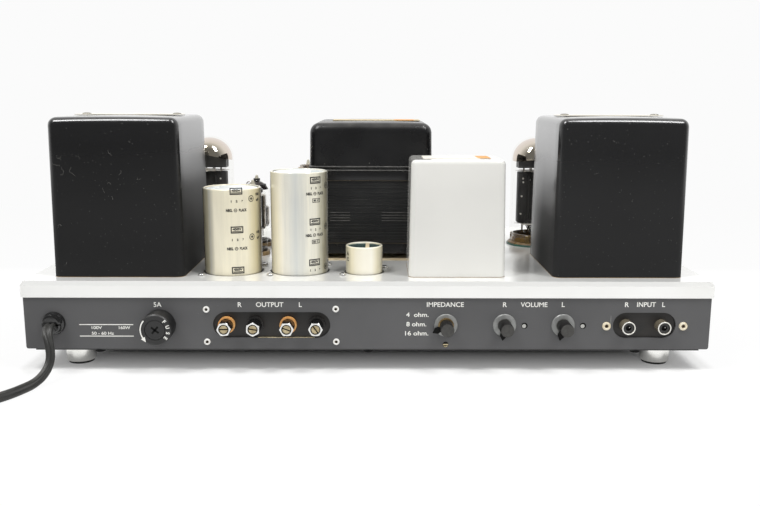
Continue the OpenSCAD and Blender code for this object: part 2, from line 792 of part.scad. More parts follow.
module rear_wall() color("dimgray") difference() {
    translate([0, y_rear_wall, z_wall]) folded_wall();
    at_rear(bush_x, z_ctrl + bush_rise) hole(gland_barrel_d + 2 * fix_gap, -wall_t - cut, cut);
    at_rear(fuse_x) hole(fuse_barrel_d + 2 * fix_gap, -wall_t - cut, cut);
    at_rear(output_x) {
        translate([0, 0, -wall_t - cut]) linear_extrude(wall_t + 2 * cut)
            obround(output_slot_w, output_slot_h);
        for (p = output_screw_spots) translate(p) hole(screw_d + 2 * fix_gap, -wall_t - cut, cut);
    }
    at_rear(input_x) {
        translate([0, 0, -wall_t - cut]) linear_extrude(wall_t + 2 * cut)
            obround(input_slot_w, input_slot_h);
        for (s = [-1, 1]) translate([s * input_screw_w / 2, 0])
            hole(screw_d + 2 * fix_gap, -wall_t - cut, cut);
    }
    for (x = concat([selector_x], volume_xs)) at_rear(x) hole(bush_d + 2 * fix_gap, -wall_t - cut, cut);
    for (x = volume_xs) at_rear(x + pot_pin_off) hole(pot_hole_d, -wall_t - cut, cut);
    at_rear(selector_x, z_ctrl - trim_drop) hole(trim_d + 2 * fix_gap, -wall_t - cut, cut);
}

module front_wall() color("dimgray") difference() {
    translate([0, y_front_wall, z_wall]) mirror([0, 1, 0]) folded_wall();
    at_front(switch_x) hole(switch_bush_d + 2 * fix_gap, -wall_t - cut, cut);
    at_front(lamp_x) hole(lens_d + 2 * fix_gap, -wall_t - cut, cut);
}

module side_walls() color("dimgray") for (s = [0, 1]) mirror([s, 0, 0]) {
    inner_d = y_front_wall - y_rear_wall - 2 * wall_t;
    translate([-wall_w / 2, y_rear_wall + wall_t, z_wall]) cube([wall_t, inner_d, wall_h]);
    for (z = [z_wall, z_lip - wall_t]) translate([-wall_w / 2, y_rear_wall + flange_w, z])
        cube([flange_w, y_front_wall - y_rear_wall - 2 * flange_w, wall_t]);
}

module bottom_plate() color("darkslategray") difference() {
    translate([bottom_in - wall_w / 2, y_rear_wall + bottom_back, foot_h])
        cube([wall_w - 2 * bottom_in, y_front_wall - y_rear_wall - 2 * bottom_back, bottom_t]);
    for (sx = [-1, 1], sy = [-1, 1], i = [0:vents - 1])
        translate([sx * out_x + (i - (vents - 1) / 2) * vent_pitch,
            (y_rear + y_front) / 2 + sy * plate_d / 5, foot_h - cut])
            rotate(90) linear_extrude(bottom_t + 2 * cut) obround(vent_l, vent_w);
}

module foot_spots() {
    for (sx = [-1, 1], y = [y_rear + foot_in_y, y_front - foot_in_y])
        translate([sx * (plate_w / 2 - foot_in_x), y, 0]) children();
}

module feet() color("silver") foot_spots() rotate_extrude() difference() {
    low = pad_t - pad_deep;
    polygon(concat(
        [[0, low]],
        [for (a = [-90:15:0]) [foot_low_d / 2 - foot_r + foot_r * cos(a),
            low + foot_r + foot_r * sin(a)]],
        [[foot_top_d / 2, foot_h], [0, foot_h]]
    ));
    square([pad_d / 2 + fix_gap, pad_t]);
}

module foot_pads() color("black") foot_spots() cylinder(d = pad_d, h = pad_t);

module steel_screws() color("silver") {
    at_rear(output_x) for (p = output_screw_spots) translate(p) pan_screw(wall_t + board_t);
    for (c = cans) on_plate(c[0], c[4]) can_screw_spots(c) pan_screw(plate_t + can_flange_t);
}

module brass_screws() color("goldenrod") {
    at_rear(input_x) for (s = [-1, 1]) translate([s * input_screw_w / 2, 0, 0])
        pan_screw(wall_t + board_t);
    at_rear(selector_x, z_ctrl - trim_drop) difference() {
        hole(trim_d, -wall_t, -cap_in);
        translate([-trim_d, -slot_w / 2, -slot_deep]) cube([2 * trim_d, slot_w, cut]);
    }
}

// A drawn block with draft, round corners and a round top edge
module drawn_block(w, d, h, r, top_r, draft) {
    lean = h * tan(draft);
    edge = min(top_r, r);
    hull() for (sx = [-1, 1], sy = [-1, 1]) {
        translate([sx * (w / 2 - r), sy * (d / 2 - r), 0]) cylinder(r = r, h = edge / 4, $fn = hull_fn);
        translate([sx * (w / 2 - lean - r), sy * (d / 2 - lean - r), h - edge])
            rotate_extrude($fn = hull_fn)
            polygon(concat([[0, 0]], [for (a = [0:18:90]) [r - edge + edge * cos(a), edge * sin(a)]],
                [[0, edge]]));
    }
}

module drawn_cover(w, d, h, r, top_r, draft) {
    difference() {
        drawn_block(w, d, h, r, top_r, draft);
        translate([0, 0, -cut])
            drawn_block(w - 2 * cover_t, d - 2 * cover_t, h + cut - cover_t, r - cover_t, top_r - cover_t,
            draft);
    }
}

module output_cover(side) {
    on_plate(side * out_x + cover_off, out_y + out_d / 2)
        drawn_cover(out_w, out_d, out_h, out_r, out_top_r, out_draft);
}

module output_cover_left() color("#1c1c1e") output_cover(-1);

module output_cover_right() color("#1c1c1e") output_cover(1);

// A shell core standing on the plate, with its coil bulging front and rear
module wound_core(w, d, h, bulge) {
    frame = w / 6;
    translate([-w / 2, -d / 2, 0]) cube([w, d, h]);
    translate([frame - w / 2, -d / 2 - bulge, frame]) cube([w - 2 * frame, d + 2 * bulge, h - 2 * frame]);
}

module output_cores() color("dimgray") for (s = [-1, 1])
    on_plate(s * out_x + cover_off, out_y + out_d / 2)
        wound_core(out_core_w, out_core_d, out_core_h, out_coil);

module choke_cover() color("#d8d8d6")
    on_plate(choke_x, choke_y + choke_d / 2)
        drawn_cover(choke_w, choke_d, choke_h, choke_r, choke_top_r, choke_draft);

module choke_core() color("dimgray")
    on_plate(choke_x, choke_y + choke_d / 2)
        wound_core(choke_core_w, choke_core_d, choke_core_h, choke_coil);

module mains_slab(low, h, inset) {
    translate([inset - mains_w / 2, inset - mains_d / 2, low])
        cube([mains_w - 2 * inset, mains_d - 2 * inset, h]);
}

module bolt_holes(low, high) {
    for (b = bolt_spots) on_plate(b[0], b[1]) hole(bolt_d + 2 * fix_gap, low, high);
}

module mains_stack() color("#232325") difference() {
    pack = stack_h / packs;
    on_plate(mains_off, mains_y) {
        mains_slab(mains_base, stack_h, stack_in + pack_groove);
        for (i = [0:packs - 1]) mains_slab(mains_base + i * pack, pack - pack_groove, stack_in);
    }
    bolt_holes(mains_base - cut, mains_base + stack_h + cut);
}

module mains_clamps() color("#1c1c1e") difference() {
    on_plate(mains_off, mains_y) {
        mains_slab(mains_leg_h, clamp_low_h, 0);
        mains_slab(mains_base + stack_h, clamp_top_h, 0);
        for (sx = [-1, 1], sy = [-1, 1])
            translate([sx * (mains_w - mains_leg_w) / 2, sy * (mains_d - mains_leg_w) / 2,
                mains_leg_h / 2])
                cube([mains_leg_w, mains_leg_w, mains_leg_h], center = true);
    }
    bolt_holes(-cut, mains_high + cut);
}

module mains_cover() color("#1c1c1e") difference() {
    on_plate(mains_off, mains_y) {
        translate([0, 0, mains_high]) linear_extrude(mains_flange_h) difference() {
            square([mains_w, mains_d], center = true);
            square([mains_w - 4 * bolt_in, mains_d - 4 * bolt_in], center = true);
        }
        translate([0, 0, mains_high + mains_flange_h])
            drawn_cover(mains_w, mains_d, mains_cover_h, mains_r, mains_top_r, mains_draft);
    }
    bolt_holes(mains_high - cut, mains_high + mains_flange_h + cut);
}

module mains_bolts() color("silver") for (b = bolt_spots) on_plate(b[0], b[1]) {
    nut_h = bolt_d * 0.8;
    translate([0, 0, -plate_t - nut_h]) cylinder(d = 2 * bolt_d, h = nut_h, $fn = 6);
    translate([0, 0, -plate_t - nut_h / 2])
        cylinder(d = bolt_d, h = plate_t + nut_h + mains_high + mains_flange_h);
    translate([0, 0, mains_high + mains_flange_h]) cylinder(d = 1.8 * bolt_d, h = nut_h, $fn = 6);
}

// An aluminium can through the plate, with its flange below and a rolled rim above
module can(c) {
    r = c[1] / 2;
    lip = can_rim / 2;
    on_plate(c[0], c[4]) difference() {
        union() {
            rotate(c[3][1] + 90) rotate_extrude() polygon(concat(
                [[0, -plate_t - can_below], [r, -plate_t - can_below], [r, -plate_t - can_flange_t],
                 [r + can_flat, -plate_t - can_flange_t], [r + can_flat, -plate_t], [r, -plate_t]],
                [for (a = [0:30:180]) [r - lip + lip * cos(a), c[2] - lip + lip * sin(a)]],
                [[r - can_rim, c[2] - can_dish - can_disc_t], [0, c[2] - can_dish - can_disc_t]]
            ));
            rotate(c[3][1]) translate([0, 0, -plate_t - can_flange_t]) linear_extrude(can_flange_t)
                obround(c[1] + 2 * can_screw_off + can_ear, can_ear);
        }
        can_screw_spots(c) hole(screw_d + 2 * fix_gap, -plate_t - can_flange_t - cut, cut);
    }
}

module can_wide() color("#d8d0b4") can(cans[0]);

module can_tall() color("#d8d0b4") can(cans[1]);

module can_small() color("#d8d0b4") can(cans[2]);

module can_discs() color("lightblue") for (c = cans)
    on_plate(c[0], c[4])
        hole(c[1] - 2 * can_rim - 2 * fix_gap, c[2] - can_dish - can_disc_t, c[2] - can_dish);

// Outline of a glass bulb from its flat base round to the top of its dome
function bulb(r, base_r, h, foot, dome) = concat(
    [[0, 0]],
    [for (a = [0:15:90]) [base_r + (r - base_r) * sin(a), foot * (1 - cos(a))]],
    [for (a = [0:10:80]) [r * cos(a), h - dome + dome * sin(a)]],
    [[0, h]]
);

module glass_bulb(d, base_d, h, foot, dome) {
    rotate_extrude() difference() {
        polygon(bulb(d / 2, base_d / 2, h, foot, dome));
        translate([0, glass_t])
            polygon(bulb(d / 2 - glass_t, base_d / 2 - glass_t, h - 2 * glass_t, foot, dome - glass_t));
    }
}

module power_tube_pair(side) {
    for (x = tube_xs) on_plate(side * x + tube_off, tube_y) translate([0, 0, socket_h])
        glass_bulb(tube_d, tube_base_d, tube_h, tube_foot_h, tube_dome_h);
}

module power_tubes_left() color("#e8e8ea", 0.5) power_tube_pair(-1);

module power_tubes_right() color("#e8e8ea", 0.5) power_tube_pair(1);

// Shares of the power tube's sizes that the small tubes keep
small_base_d = small_d - 6;
small_foot_h = 4;
small_dome_h = 8;
small_nib_d = 4;
small_nib_h = 5;
small_anode_w = 13;
small_anode_d = 8;
small_anode_z = 10;
small_mica_d = small_d - 3;
small_top_gap = 16;

module small_tubes() color("#e8e8ea", 0.5) for (s = [-1, 1], p = small_spots) on_plate(s * p[0], p[1])
    translate([0, 0, small_socket_h]) {
    glass_bulb(small_d, small_base_d, p[2] - small_nib_h, small_foot_h, small_dome_h);
    translate([0, 0, p[2] - small_nib_h - glass_t / 2]) rotate_extrude() {
        square([small_nib_d / 2, small_nib_h + glass_t / 2 - small_nib_d / 2]);
        intersection() {
            translate([0, small_nib_h + glass_t / 2 - small_nib_d / 2]) circle(d = small_nib_d);
            square([small_nib_d, 2 * small_nib_h]);
        }
    }
}

// Electrodes on their wires: two mica spacers with the anode between them
module electrodes(w, d, low, h, mica) {
    for (z = [low - mica_t, low + h]) translate([0, 0, z]) cylinder(d = mica, h = mica_t);
    translate([0, 0, low]) linear_extrude(h) obround(w, d);
    for (sx = [-1, 1], sy = [-1, 1]) translate([sx * w / 4, sy * d / 4, glass_t])
        cylinder(d = wire_d, h = low - glass_t, $fn = 24);
}

module tube_anodes() color("#202022") for (s = [-1, 1]) {
    for (x = tube_xs) on_plate(s * x + tube_off, tube_y) translate([0, 0, socket_h]) {
        electrodes(anode_w, anode_d, anode_z, anode_h, mica_d);
        translate([0, 0, anode_z + anode_h + mica_t]) linear_extrude(fin_h)
            square([anode_w * 0.8, anode_d * 0.8], center = true);
    }
    for (p = small_spots) on_plate(s * p[0], p[1]) translate([0, 0, small_socket_h])
        electrodes(small_anode_w, small_anode_d, small_anode_z, p[2] - small_anode_z - small_top_gap,
            small_mica_d);
}

// A socket through the plate, with a plate or a rim on top of it
module socket(d, rim_d, rim_h, h) {
    rotate_extrude() polygon([
        [0, -plate_t - socket_below], [d / 2, -plate_t - socket_below], [d / 2, 0],
        [rim_d / 2, 0], [rim_d / 2, rim_h], [d / 2, rim_h], [d / 2, h], [0, h]
    ]);
}

module tube_sockets() color("#8a6a2a") for (s = [-1, 1]) {
    for (x = tube_xs) on_plate(s * x + tube_off, tube_y)
        socket(socket_collar_d, socket_d, socket_plate_t, socket_h);
    for (p = small_spots) on_plate(s * p[0], p[1])
        socket(small_d, small_socket_d, small_socket_h * 0.6, small_socket_h);
}

module output_board() color("#161616") at_rear(output_x) difference() {
    translate([0, 0, -wall_t - board_t]) linear_extrude(board_t)
        square([output_screw_w + 2 * screw_head_d, output_screw_h + 2 * board_margin], center = true);
    for (p = output_screw_spots) translate(p) hole(screw_d + 2 * fix_gap, -wall_t - board_t - cut, 0);
    for (x = terminal_xs) translate([x - output_x, 0, 0]) hole(nut_bore, -wall_t - board_t - cut, 0);
}

module output_ring(i) {
    at_rear(terminal_xs[i]) difference() {
        hole(ring_d, -wall_t, ring_out);
        hole(nut_bore, -wall_t - cut, ring_out + cut);
        translate([0, 0, ring_out - ring_out / 3])
            cylinder(d1 = nut_bore, d2 = ring_d - 2, h = ring_out / 3 + 0.01);
    }
}

module output_rings_red() color("#d08040") for (i = [0, 2]) output_ring(i);

module output_rings_black() color("#181818") for (i = [1, 3]) output_ring(i);

module output_studs() color("#c8b070") for (i = [0:3]) at_rear(terminal_xs[i]) difference() {
    hole(stud_d, -wall_t - board_t - stud_tail, nut_out - stud_sunk);
    rotate(slot_turns[i]) translate([-stud_d, -slot_w / 2, nut_out - stud_sunk - slot_deep])
        cube([2 * stud_d, slot_w, 2 * slot_deep]);
}

// A hexagonal nut with both ends turned to a slight cone, which runs out past the corners
module terminal_nut(i) {
    low = ring_out + move_gap;
    cone = nut_d * (1 - cos(30)) / 2 * 0.7;
    past = nut_d / 2 + cone;
    at_rear(terminal_xs[i]) difference() {
        intersection() {
            rotate(nut_turns[i]) translate([0, 0, low]) cylinder(d = nut_d, h = nut_out - low, $fn = 6);
            rotate_extrude() polygon([
                [0, low], [nut_d / 2 - cone, low], [past, low + 2 * cone], [past, nut_out - 2 * cone],
                [nut_d / 2 - cone, nut_out], [0, nut_out]
            ]);
        }
        hole(nut_bore, low - cut, nut_out + cut);
    }
}

module terminal_nut_1() color("whitesmoke") terminal_nut(0);

module terminal_nut_2() color("whitesmoke") terminal_nut(1);

module terminal_nut_3() color("whitesmoke") terminal_nut(2);

module terminal_nut_4() color("whitesmoke") terminal_nut(3);

module input_board() color("#161616") at_rear(input_x) difference() {
    translate([0, 0, -wall_t - board_t]) linear_extrude(board_t)
        square([input_screw_w + 1.5 * screw_head_d, input_board_h], center = true);
    for (s = [-1, 1]) translate([s * input_screw_w / 2, 0])
        hole(screw_d + 2 * fix_gap, -wall_t - board_t - cut, 0);
    for (x = jack_xs) translate([x - input_x, 0])
        hole(jack_tail_d + 2 * fix_gap, -wall_t - board_t - cut, 0);
}

jack_floor = 0.7;
insulator_lift = 1;

module input_jacks() color("silver") for (x = jack_xs) at_rear(x) {
    difference() {
        hole(jack_d, -wall_t, jack_out);
        hole(jack_d - 2 * jack_t, jack_floor - wall_t, jack_out + cut);
    }
    hole(jack_tail_d, -wall_t - board_t - jack_tail, jack_floor / 2 - wall_t);
}

module jack_insulators() color("#202020") for (x = jack_xs) at_rear(x) difference() {
    hole(jack_d - 2 * jack_t - 2 * fix_gap, jack_floor + insulator_lift - wall_t, jack_out - jack_sunk);
    hole(jack_pin_d, jack_floor - wall_t - cut, jack_out + cut);
}

module fuse_holder() color("#1e1e1e") at_rear(fuse_x) difference() {
    edge = 0.8;
    rotate_extrude() polygon([
        [0, -fuse_barrel], [fuse_barrel_d / 2, -fuse_barrel], [fuse_barrel_d / 2, 0], [fuse_d / 2, 0],
        [fuse_d / 2, fuse_out - edge], [fuse_d / 2 - edge, fuse_out], [0, fuse_out]
    ]);
    hole(fuse_bore_d, fuse_floor - fuse_barrel, fuse_out + cut);
}

module fuse_cap() color("#262626") at_rear(fuse_x) difference() {
    face = fuse_out - cap_in;
    hole(fuse_cap_d, face - fuse_cap_h, face);
    hole(carrier_pin_d + 2 * run_gap, face - fuse_cap_h - cut, face - fuse_cap_h + carrier_pin);
    for (turn = [45, 135]) rotate(turn) translate([-cross_l / 2, -slot_w / 2, face - slot_deep])
        cube([cross_l, slot_w, 2 * slot_deep]);
}

module fuse_carrier() color("#3a3a3a") at_rear(fuse_x) difference() {
    union() {
        hole(carrier_d, carrier_back, carrier_end);
        hole(fuse_cap_d, carrier_back, carrier_back + 2);
        hole(carrier_pin_d, carrier_end - cut, carrier_end + carrier_pin);
    }
    hole(fuse_glass_d + 2 * fix_gap, carrier_back - cut, carrier_back + fuse_glass_l);
}

module fuse() color("lightcyan") at_rear(fuse_x)
    hole(fuse_glass_d, carrier_back, carrier_back + fuse_glass_l);

// A control's housing behind the wall, with its bush through the wall and the shaft's bore
module control_housing(d, l) {
    difference() {
        union() {
            hole(d, -wall_t - l, -wall_t);
            hole(bush_d, -wall_t - cut, dial_t);
            children();
        }
        hole(shaft_d + 2 * run_gap, -wall_t - shaft_tail, dial_t + cut);
    }
}

module selector_switch() color("#8a7a5a") at_rear(selector_x) control_housing(selector_d, selector_l);

module volume_pots() color("#9a9a98") for (x = volume_xs) at_rear(x) control_housing(pot_d, pot_l) {
    translate([0, -pot_pin_d, -wall_t - 1.5]) cube([pot_pin_off + pot_pin_d, 2 * pot_pin_d, 1.5]);
    translate([pot_pin_off, 0, 0]) hole(pot_pin_d, -wall_t - 1, -cap_in);
}

module control_shaft(x) {
    at_rear(x) hole(shaft_d, move_gap - wall_t - shaft_tail, knob_out - knob_wall);
}

module selector_shaft() color("#b0a070") control_shaft(selector_x);

module volume_shaft_right() color("silver") control_shaft(volume_xs[0]);

module volume_shaft_left() color("silver") control_shaft(volume_xs[1]);

// A plain round knob with a pointer at its foot
module pointer_knob(x, aim) {
    edge = 0.4;
    at_rear(x) difference() {
        union() {
            rotate_extrude() polygon([
                [0, knob_base], [knob_d / 2, knob_base], [knob_d / 2, knob_out - edge],
                [knob_d / 2 - edge, knob_out], [0, knob_out]
            ]);
            rotate(aim) translate([0, 0, knob_base]) linear_extrude(pointer_t) polygon([
                [0, -pointer_w / 2], [pointer_r - pointer_w / 2, -pointer_w / 2], [pointer_r, 0],
                [pointer_r - pointer_w / 2, pointer_w / 2], [0, pointer_w / 2]
            ]);
        }
        hole(shaft_d + 2 * fix_gap, knob_base - cut, knob_out - knob_wall);
    }
}

module selector_knob() color("#262628") pointer_knob(selector_x, selector_aim);

module volume_knob_right() color("#262628") pointer_knob(volume_xs[0], volume_aims[0]);

module volume_knob_left() color("#262628") pointer_knob(volume_xs[1], volume_aims[1]);

module dial_rings() color("#b8b8b4") for (x = concat([selector_x], volume_xs)) at_rear(x)
    rotate_extrude() {
    inner = bush_d / 2 + fix_gap;
    polygon([
        [inner, 0], [dial_d / 2, 0], [dial_d / 2, dial_t], [dial_d / 2 - dial_land, dial_t],
        [dial_d / 2 - 2 * dial_land, dial_t * 0.6], [inner, dial_t * 0.6]
    ]);
}

pivot_out = switch_bush_out - pivot_deep;
switch_cave_d = pivot_ball_d + 2 * move_gap;

module power_switch() color("#c0c0c0") at_front(switch_x) difference() {
    union() {
        translate([-switch_w / 2, -switch_h / 2, -wall_t - switch_l])
            cube([switch_w, switch_h, switch_l]);
        hole(switch_bush_d, -wall_t - cut, switch_bush_out);
    }
    hole(switch_cave_d, pivot_out - switch_cave_d / 2 - cut, switch_bush_out + cut);
    translate([0, 0, pivot_out]) rotate([0, 90, 0])
        hole(pivot_pin_d + 2 * run_gap, -switch_bush_d, switch_bush_d);
}

module switch_lever() color("silver") at_front(switch_x) translate([0, 0, pivot_out]) {
    sphere(d = pivot_ball_d);
    rotate([0, 90, 0]) hole(pivot_pin_d, -switch_bush_d / 2 + 0.5, switch_bush_d / 2 - 0.5);
    rotate([lever_tilt, 0, 0]) {
        cylinder(d1 = lever_d, d2 = lever_tip_d * 0.8, h = lever_l);
        translate([0, 0, lever_l]) sphere(d = lever_tip_d);
    }
}

module pilot_lamp() color("orangered") at_front(lamp_x) {
    bezel = 2.2;
    rotate_extrude() polygon(concat(
        [[0, -wall_t - lamp_tail], [lens_d / 2, -wall_t - lamp_tail], [lens_d / 2, 0], [lamp_d / 2, 0],
         [lamp_d / 2, bezel * 0.6], [lamp_d / 2 - bezel * 0.4, bezel], [lens_d / 2, bezel]],
        [for (a = [15:15:75]) [lens_d / 2 * cos(a), bezel + (lamp_out - bezel) * sin(a)]],
        [[0, lamp_out]]
    ));
}

module driver_board() color("#3a6a3a") {
    margin = spacer_d / 2 + 2;
    on_plate(0, driver_y) translate([-driver_w / 2, 0, -plate_t - driver_drop - driver_t])
        cube([driver_w, driver_d, driver_t]);
    for (sx = [-1, 1], y = [margin, driver_d - margin])
        on_plate(sx * (driver_w / 2 - margin), driver_y + y)
        hole(spacer_d, -plate_t - driver_drop - driver_t / 2, -plate_t);
}

module cord_bush() color("#141414") at_rear(bush_x, z_ctrl + bush_rise) rotate_extrude() polygon([
    [0, -wall_t - gland_tail], [gland_nose_d / 2 - 1, -wall_t - gland_tail],
        [gland_barrel_d / 2, -wall_t - gland_tail / 2],
    [gland_barrel_d / 2, 0], [gland_d / 2, 0], [gland_d / 2, gland_flange_t * 0.7],
    [gland_d / 2 - gland_flange_t * 0.3, gland_flange_t], [gland_nose_d / 2 + 0.8, gland_flange_t],
    [gland_nose_d / 2, gland_out - 0.6], [gland_nose_d / 2 - 0.6, gland_out], [0, gland_out]
]);

module mains_cord() color("#101010") swept(rings(cord_route, cord_sides, cord_section));

module cord_coil() color("#101010") {
    coil_rings = rings(coil_path, [for (p = coil_path) upright], coil_section);
    echo(str("Least gap of the coil to itself: ", coil_gap_measured(coil_rings), " mm"));
    swept(coil_rings);
}

// The moulded plug lies beside the coil, its two flat blades pointing away from the cord
module mains_plug() color("#181818") translate(coil_last) rotate(coil_end_aim) {
    corner = 4;
    nose = plug_relief * 0.55;
    hull() {
        rotate([0, 90, 0]) cylinder(d = 1.4 * cord_w, h = 1, $fn = hull_fn);
        translate([nose, 0, 0]) rotate([0, 90, 0]) cylinder(d = 1.7 * cord_w, h = 1, $fn = hull_fn);
    }
    hull() {
        translate([nose, 0, 0]) rotate([0, 90, 0]) cylinder(d = 1.7 * cord_w, h = 1, $fn = hull_fn);
        for (sy = [-1, 1], sz = [-1, 1])
            translate([plug_relief, sy * (plug_w / 2 - corner), sz * (plug_h / 2 - corner)])
            rotate([0, 90, 0]) cylinder(r = corner, h = plug_l, $fn = hull_fn);
    }
}

module plug_blades() color("#d8c890") translate(coil_last) rotate(coil_end_aim)
    for (s = [-1, 1]) translate([plug_relief + plug_l, s * blade_pitch / 2 - blade_t / 2, -blade_w / 2])
        difference() {
        cube([blade_l, blade_t, blade_w]);
        translate([blade_l - 1.2 * blade_hole_d, -cut, blade_w / 2]) rotate([-90, 0, 0])
            cylinder(d = blade_hole_d, h = blade_t + 2 * cut);
    }

top_plate();
rear_wall();
front_wall();
side_walls();
bottom_plate();
feet();
foot_pads();
steel_screws();
brass_screws();
output_cover_left();
output_cover_right();
output_cores();
choke_cover();
choke_core();
mains_stack();
mains_clamps();
mains_cover();
mains_bolts();
can_wide();
can_tall();
can_small();
can_discs();
power_tubes_left();
power_tubes_right();
small_tubes();
tube_anodes();
tube_sockets();
output_board();
output_rings_red();
output_rings_black();
output_studs();
terminal_nut_1();
terminal_nut_2();
terminal_nut_3();
terminal_nut_4();
input_board();
input_jacks();
jack_insulators();
fuse_holder();
fuse_cap();
fuse_carrier();
fuse();
selector_switch();
selector_shaft();
selector_knob();
volume_pots();
volume_shaft_right();
volume_knob_right();
volume_shaft_left();
volume_knob_left();
dial_rings();
power_switch();
switch_lever();
pilot_lamp();
driver_board();
cord_bush();
mains_cord();
cord_coil();
mains_plug();
plug_blades();
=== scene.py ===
import math
import random
import bmesh
import bpy
from mathutils import Matrix, Vector


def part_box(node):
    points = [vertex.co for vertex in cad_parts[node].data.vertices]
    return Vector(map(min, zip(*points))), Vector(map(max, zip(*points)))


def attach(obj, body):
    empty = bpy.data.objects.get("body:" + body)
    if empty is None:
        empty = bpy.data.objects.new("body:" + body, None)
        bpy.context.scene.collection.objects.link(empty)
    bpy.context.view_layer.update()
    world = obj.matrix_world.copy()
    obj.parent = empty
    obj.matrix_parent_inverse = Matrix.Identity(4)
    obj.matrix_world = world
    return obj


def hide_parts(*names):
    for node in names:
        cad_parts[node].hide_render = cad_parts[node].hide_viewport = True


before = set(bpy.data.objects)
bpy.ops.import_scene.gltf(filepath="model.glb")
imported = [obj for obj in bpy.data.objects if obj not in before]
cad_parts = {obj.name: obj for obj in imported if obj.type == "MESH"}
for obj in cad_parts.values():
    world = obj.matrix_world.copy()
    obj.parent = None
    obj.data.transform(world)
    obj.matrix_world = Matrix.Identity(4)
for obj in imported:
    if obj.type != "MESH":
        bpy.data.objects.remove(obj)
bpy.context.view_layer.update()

mm = 0.001
scene = bpy.context.scene
scene.view_settings.view_transform = "Standard"
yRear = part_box("top_plate")[0].y / mm  # rear edge of the plate
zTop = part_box("top_plate")[1].z / mm  # upper face of the plate
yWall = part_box("rear_wall")[0].y / mm  # outer face of the rear wall
zCtrl = 31.9  # height of the rear controls
print("frame loaded:", len(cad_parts), "nodes")

# camera
cameraSet = {"lens": 40.216, "sensor": 36.0, "pitch": 10.54, "yaw": 0.30, "roll": 0.16,
             "place": (5.0, yRear - 548.2, 183.1), "clip": (0.01, 50)}


def makeCamera(c):
    pitch, yaw, roll = (math.radians(c[k]) for k in ("pitch", "yaw", "roll"))
    ahead = Vector((math.sin(yaw) * math.cos(pitch), math.cos(yaw) * math.cos(pitch), -math.sin(pitch)))
    right = Vector((math.cos(yaw), -math.sin(yaw), 0))
    up = right.cross(ahead)
    across = math.cos(roll) * right + math.sin(roll) * up
    upward = math.cos(roll) * up - math.sin(roll) * right
    data = bpy.data.cameras.new("camera")
    data.lens, data.sensor_width, data.sensor_fit = c["lens"], c["sensor"], "HORIZONTAL"
    data.clip_start, data.clip_end = c["clip"]
    cam = bpy.data.objects.new("camera", data)
    cam.matrix_world = Matrix((across, upward, -ahead)).transposed().to_4x4()
    cam.location = Vector(c["place"]) * mm
    scene.collection.objects.link(cam)
    scene.camera = cam


makeCamera(cameraSet)
print("camera set")


# shapes, in millimetres and degrees: a shape is a pair of points and faces
def joined(*shapes):
    points, faces = [], []
    for p, f in shapes:
        k = len(points)
        points += p
        faces += [tuple(i + k for i in face) for face in f]
    return points, faces


def polar(r, a):
    return r * math.cos(math.radians(a)), r * math.sin(math.radians(a))


def atHeight(ring, z):
    return [(x, y, z) for x, y in ring]


def placed(shape, x=0.0, y=0.0, z=0.0, turn=0.0):
    c, s = polar(1, turn)
    return [(x + c * u - s * v, y + s * u + c * v, z + w) for u, v, w in shape[0]], shape[1]


def onRear(shape, x, z, out=0.0):  # a shape's own z points out of the rear wall
    return [(x + p[0], yWall - out - p[2], z + p[1]) for p in shape[0]], shape[1]


def rowOnRear(shape, spots, z, out=0.0):  # one shape at several places along the wall
    return joined(*[onRear(shape, x, z, out) for x in spots])


def alongY(shape):  # a shape's own z turned to lie along y
    return [(p[1], p[2], p[0]) for p in shape[0]], shape[1]


def turned(profile, n=64):  # a profile of radii and heights, spun round z
    points, faces, rows = [], [], []
    for r, z in profile:
        count = 1 if r < 1e-6 else n
        rows.append(range(len(points), len(points) + count))
        points += [polar(r, 360 * k / n) + (z,) for k in range(count)]
    for a, b in zip(rows, rows[1:]):
        for k in range(n):
            corners = [row[i % len(row)] for row, i in ((a, k), (a, k + 1), (b, k + 1), (b, k))]
            face = tuple(dict.fromkeys(corners))  # on the axis two corners are one
            if len(face) > 2:
                faces.append(face)
    return points, faces


def arc(x, y, r, a, b, n=6):  # points of an arc, for profiles
    return [(x + u, y + v) for u, v in (polar(r, a + (b - a) * i / n) for i in range(n + 1))]


def roundedRing(w, d, r, n=6, m=6):  # rounded rectangle with its straight sides split in m
    corners = [arc(sx * (w / 2 - r), sy * (d / 2 - r), r, a, a + 90, n)
               for sx, sy, a in ((1, 1, 0), (-1, 1, 90), (-1, -1, 180), (1, -1, 270))]
    ring = []
    for i, corner in enumerate(corners):
        p, q = corner[-1], corners[(i + 1) % 4][0]
        ring += corner + [(p[0] + (q[0] - p[0]) * k / m, p[1] + (q[1] - p[1]) * k / m) for k in range(1, m)]
    return ring


def lofted(rings, low=True, high=True):  # a skin over rings of one count, with closed ends
    n = len(rings[0])
    points = [p for ring in rings for p in ring]
    faces = []
    for i in range(len(rings) - 1):
        for k in range(n):
            j = (k + 1) % n
            faces.append((i * n + k, i * n + j, (i + 1) * n + j, (i + 1) * n + k))
    if low:
        faces.append(tuple(reversed(range(n))))
    if high:
        faces.append(tuple(range(len(points) - n, len(points))))
    return points, faces


def softBlock(w, d, h, r, edge, n=6, m=2):  # block with rounded corners and softened edges, base at z 0
    low = [(edge - edge * math.sin(a), edge - edge * math.cos(a)) for a in (0, 0.5, 1.0, math.pi / 2)]
    steps = low + [(inset, h - z) for inset, z in reversed(low)]
    return lofted([atHeight(roundedRing(w - 2 * inset, d - 2 * inset, max(r - inset, 0.01), n, m), z)
                   for inset, z in steps])


def swept(path, sides, section):
    rings = []
    for i, p in enumerate(path):
        ahead = (path[min(i + 1, len(path) - 1)] - path[max(i - 1, 0)]).normalized()
        wide = (sides[i] - ahead * sides[i].dot(ahead)).normalized()
        thick = ahead.cross(wide)
        rings.append([tuple(p + wide * a + thick * b) for a, b in section])
    return lofted(rings)


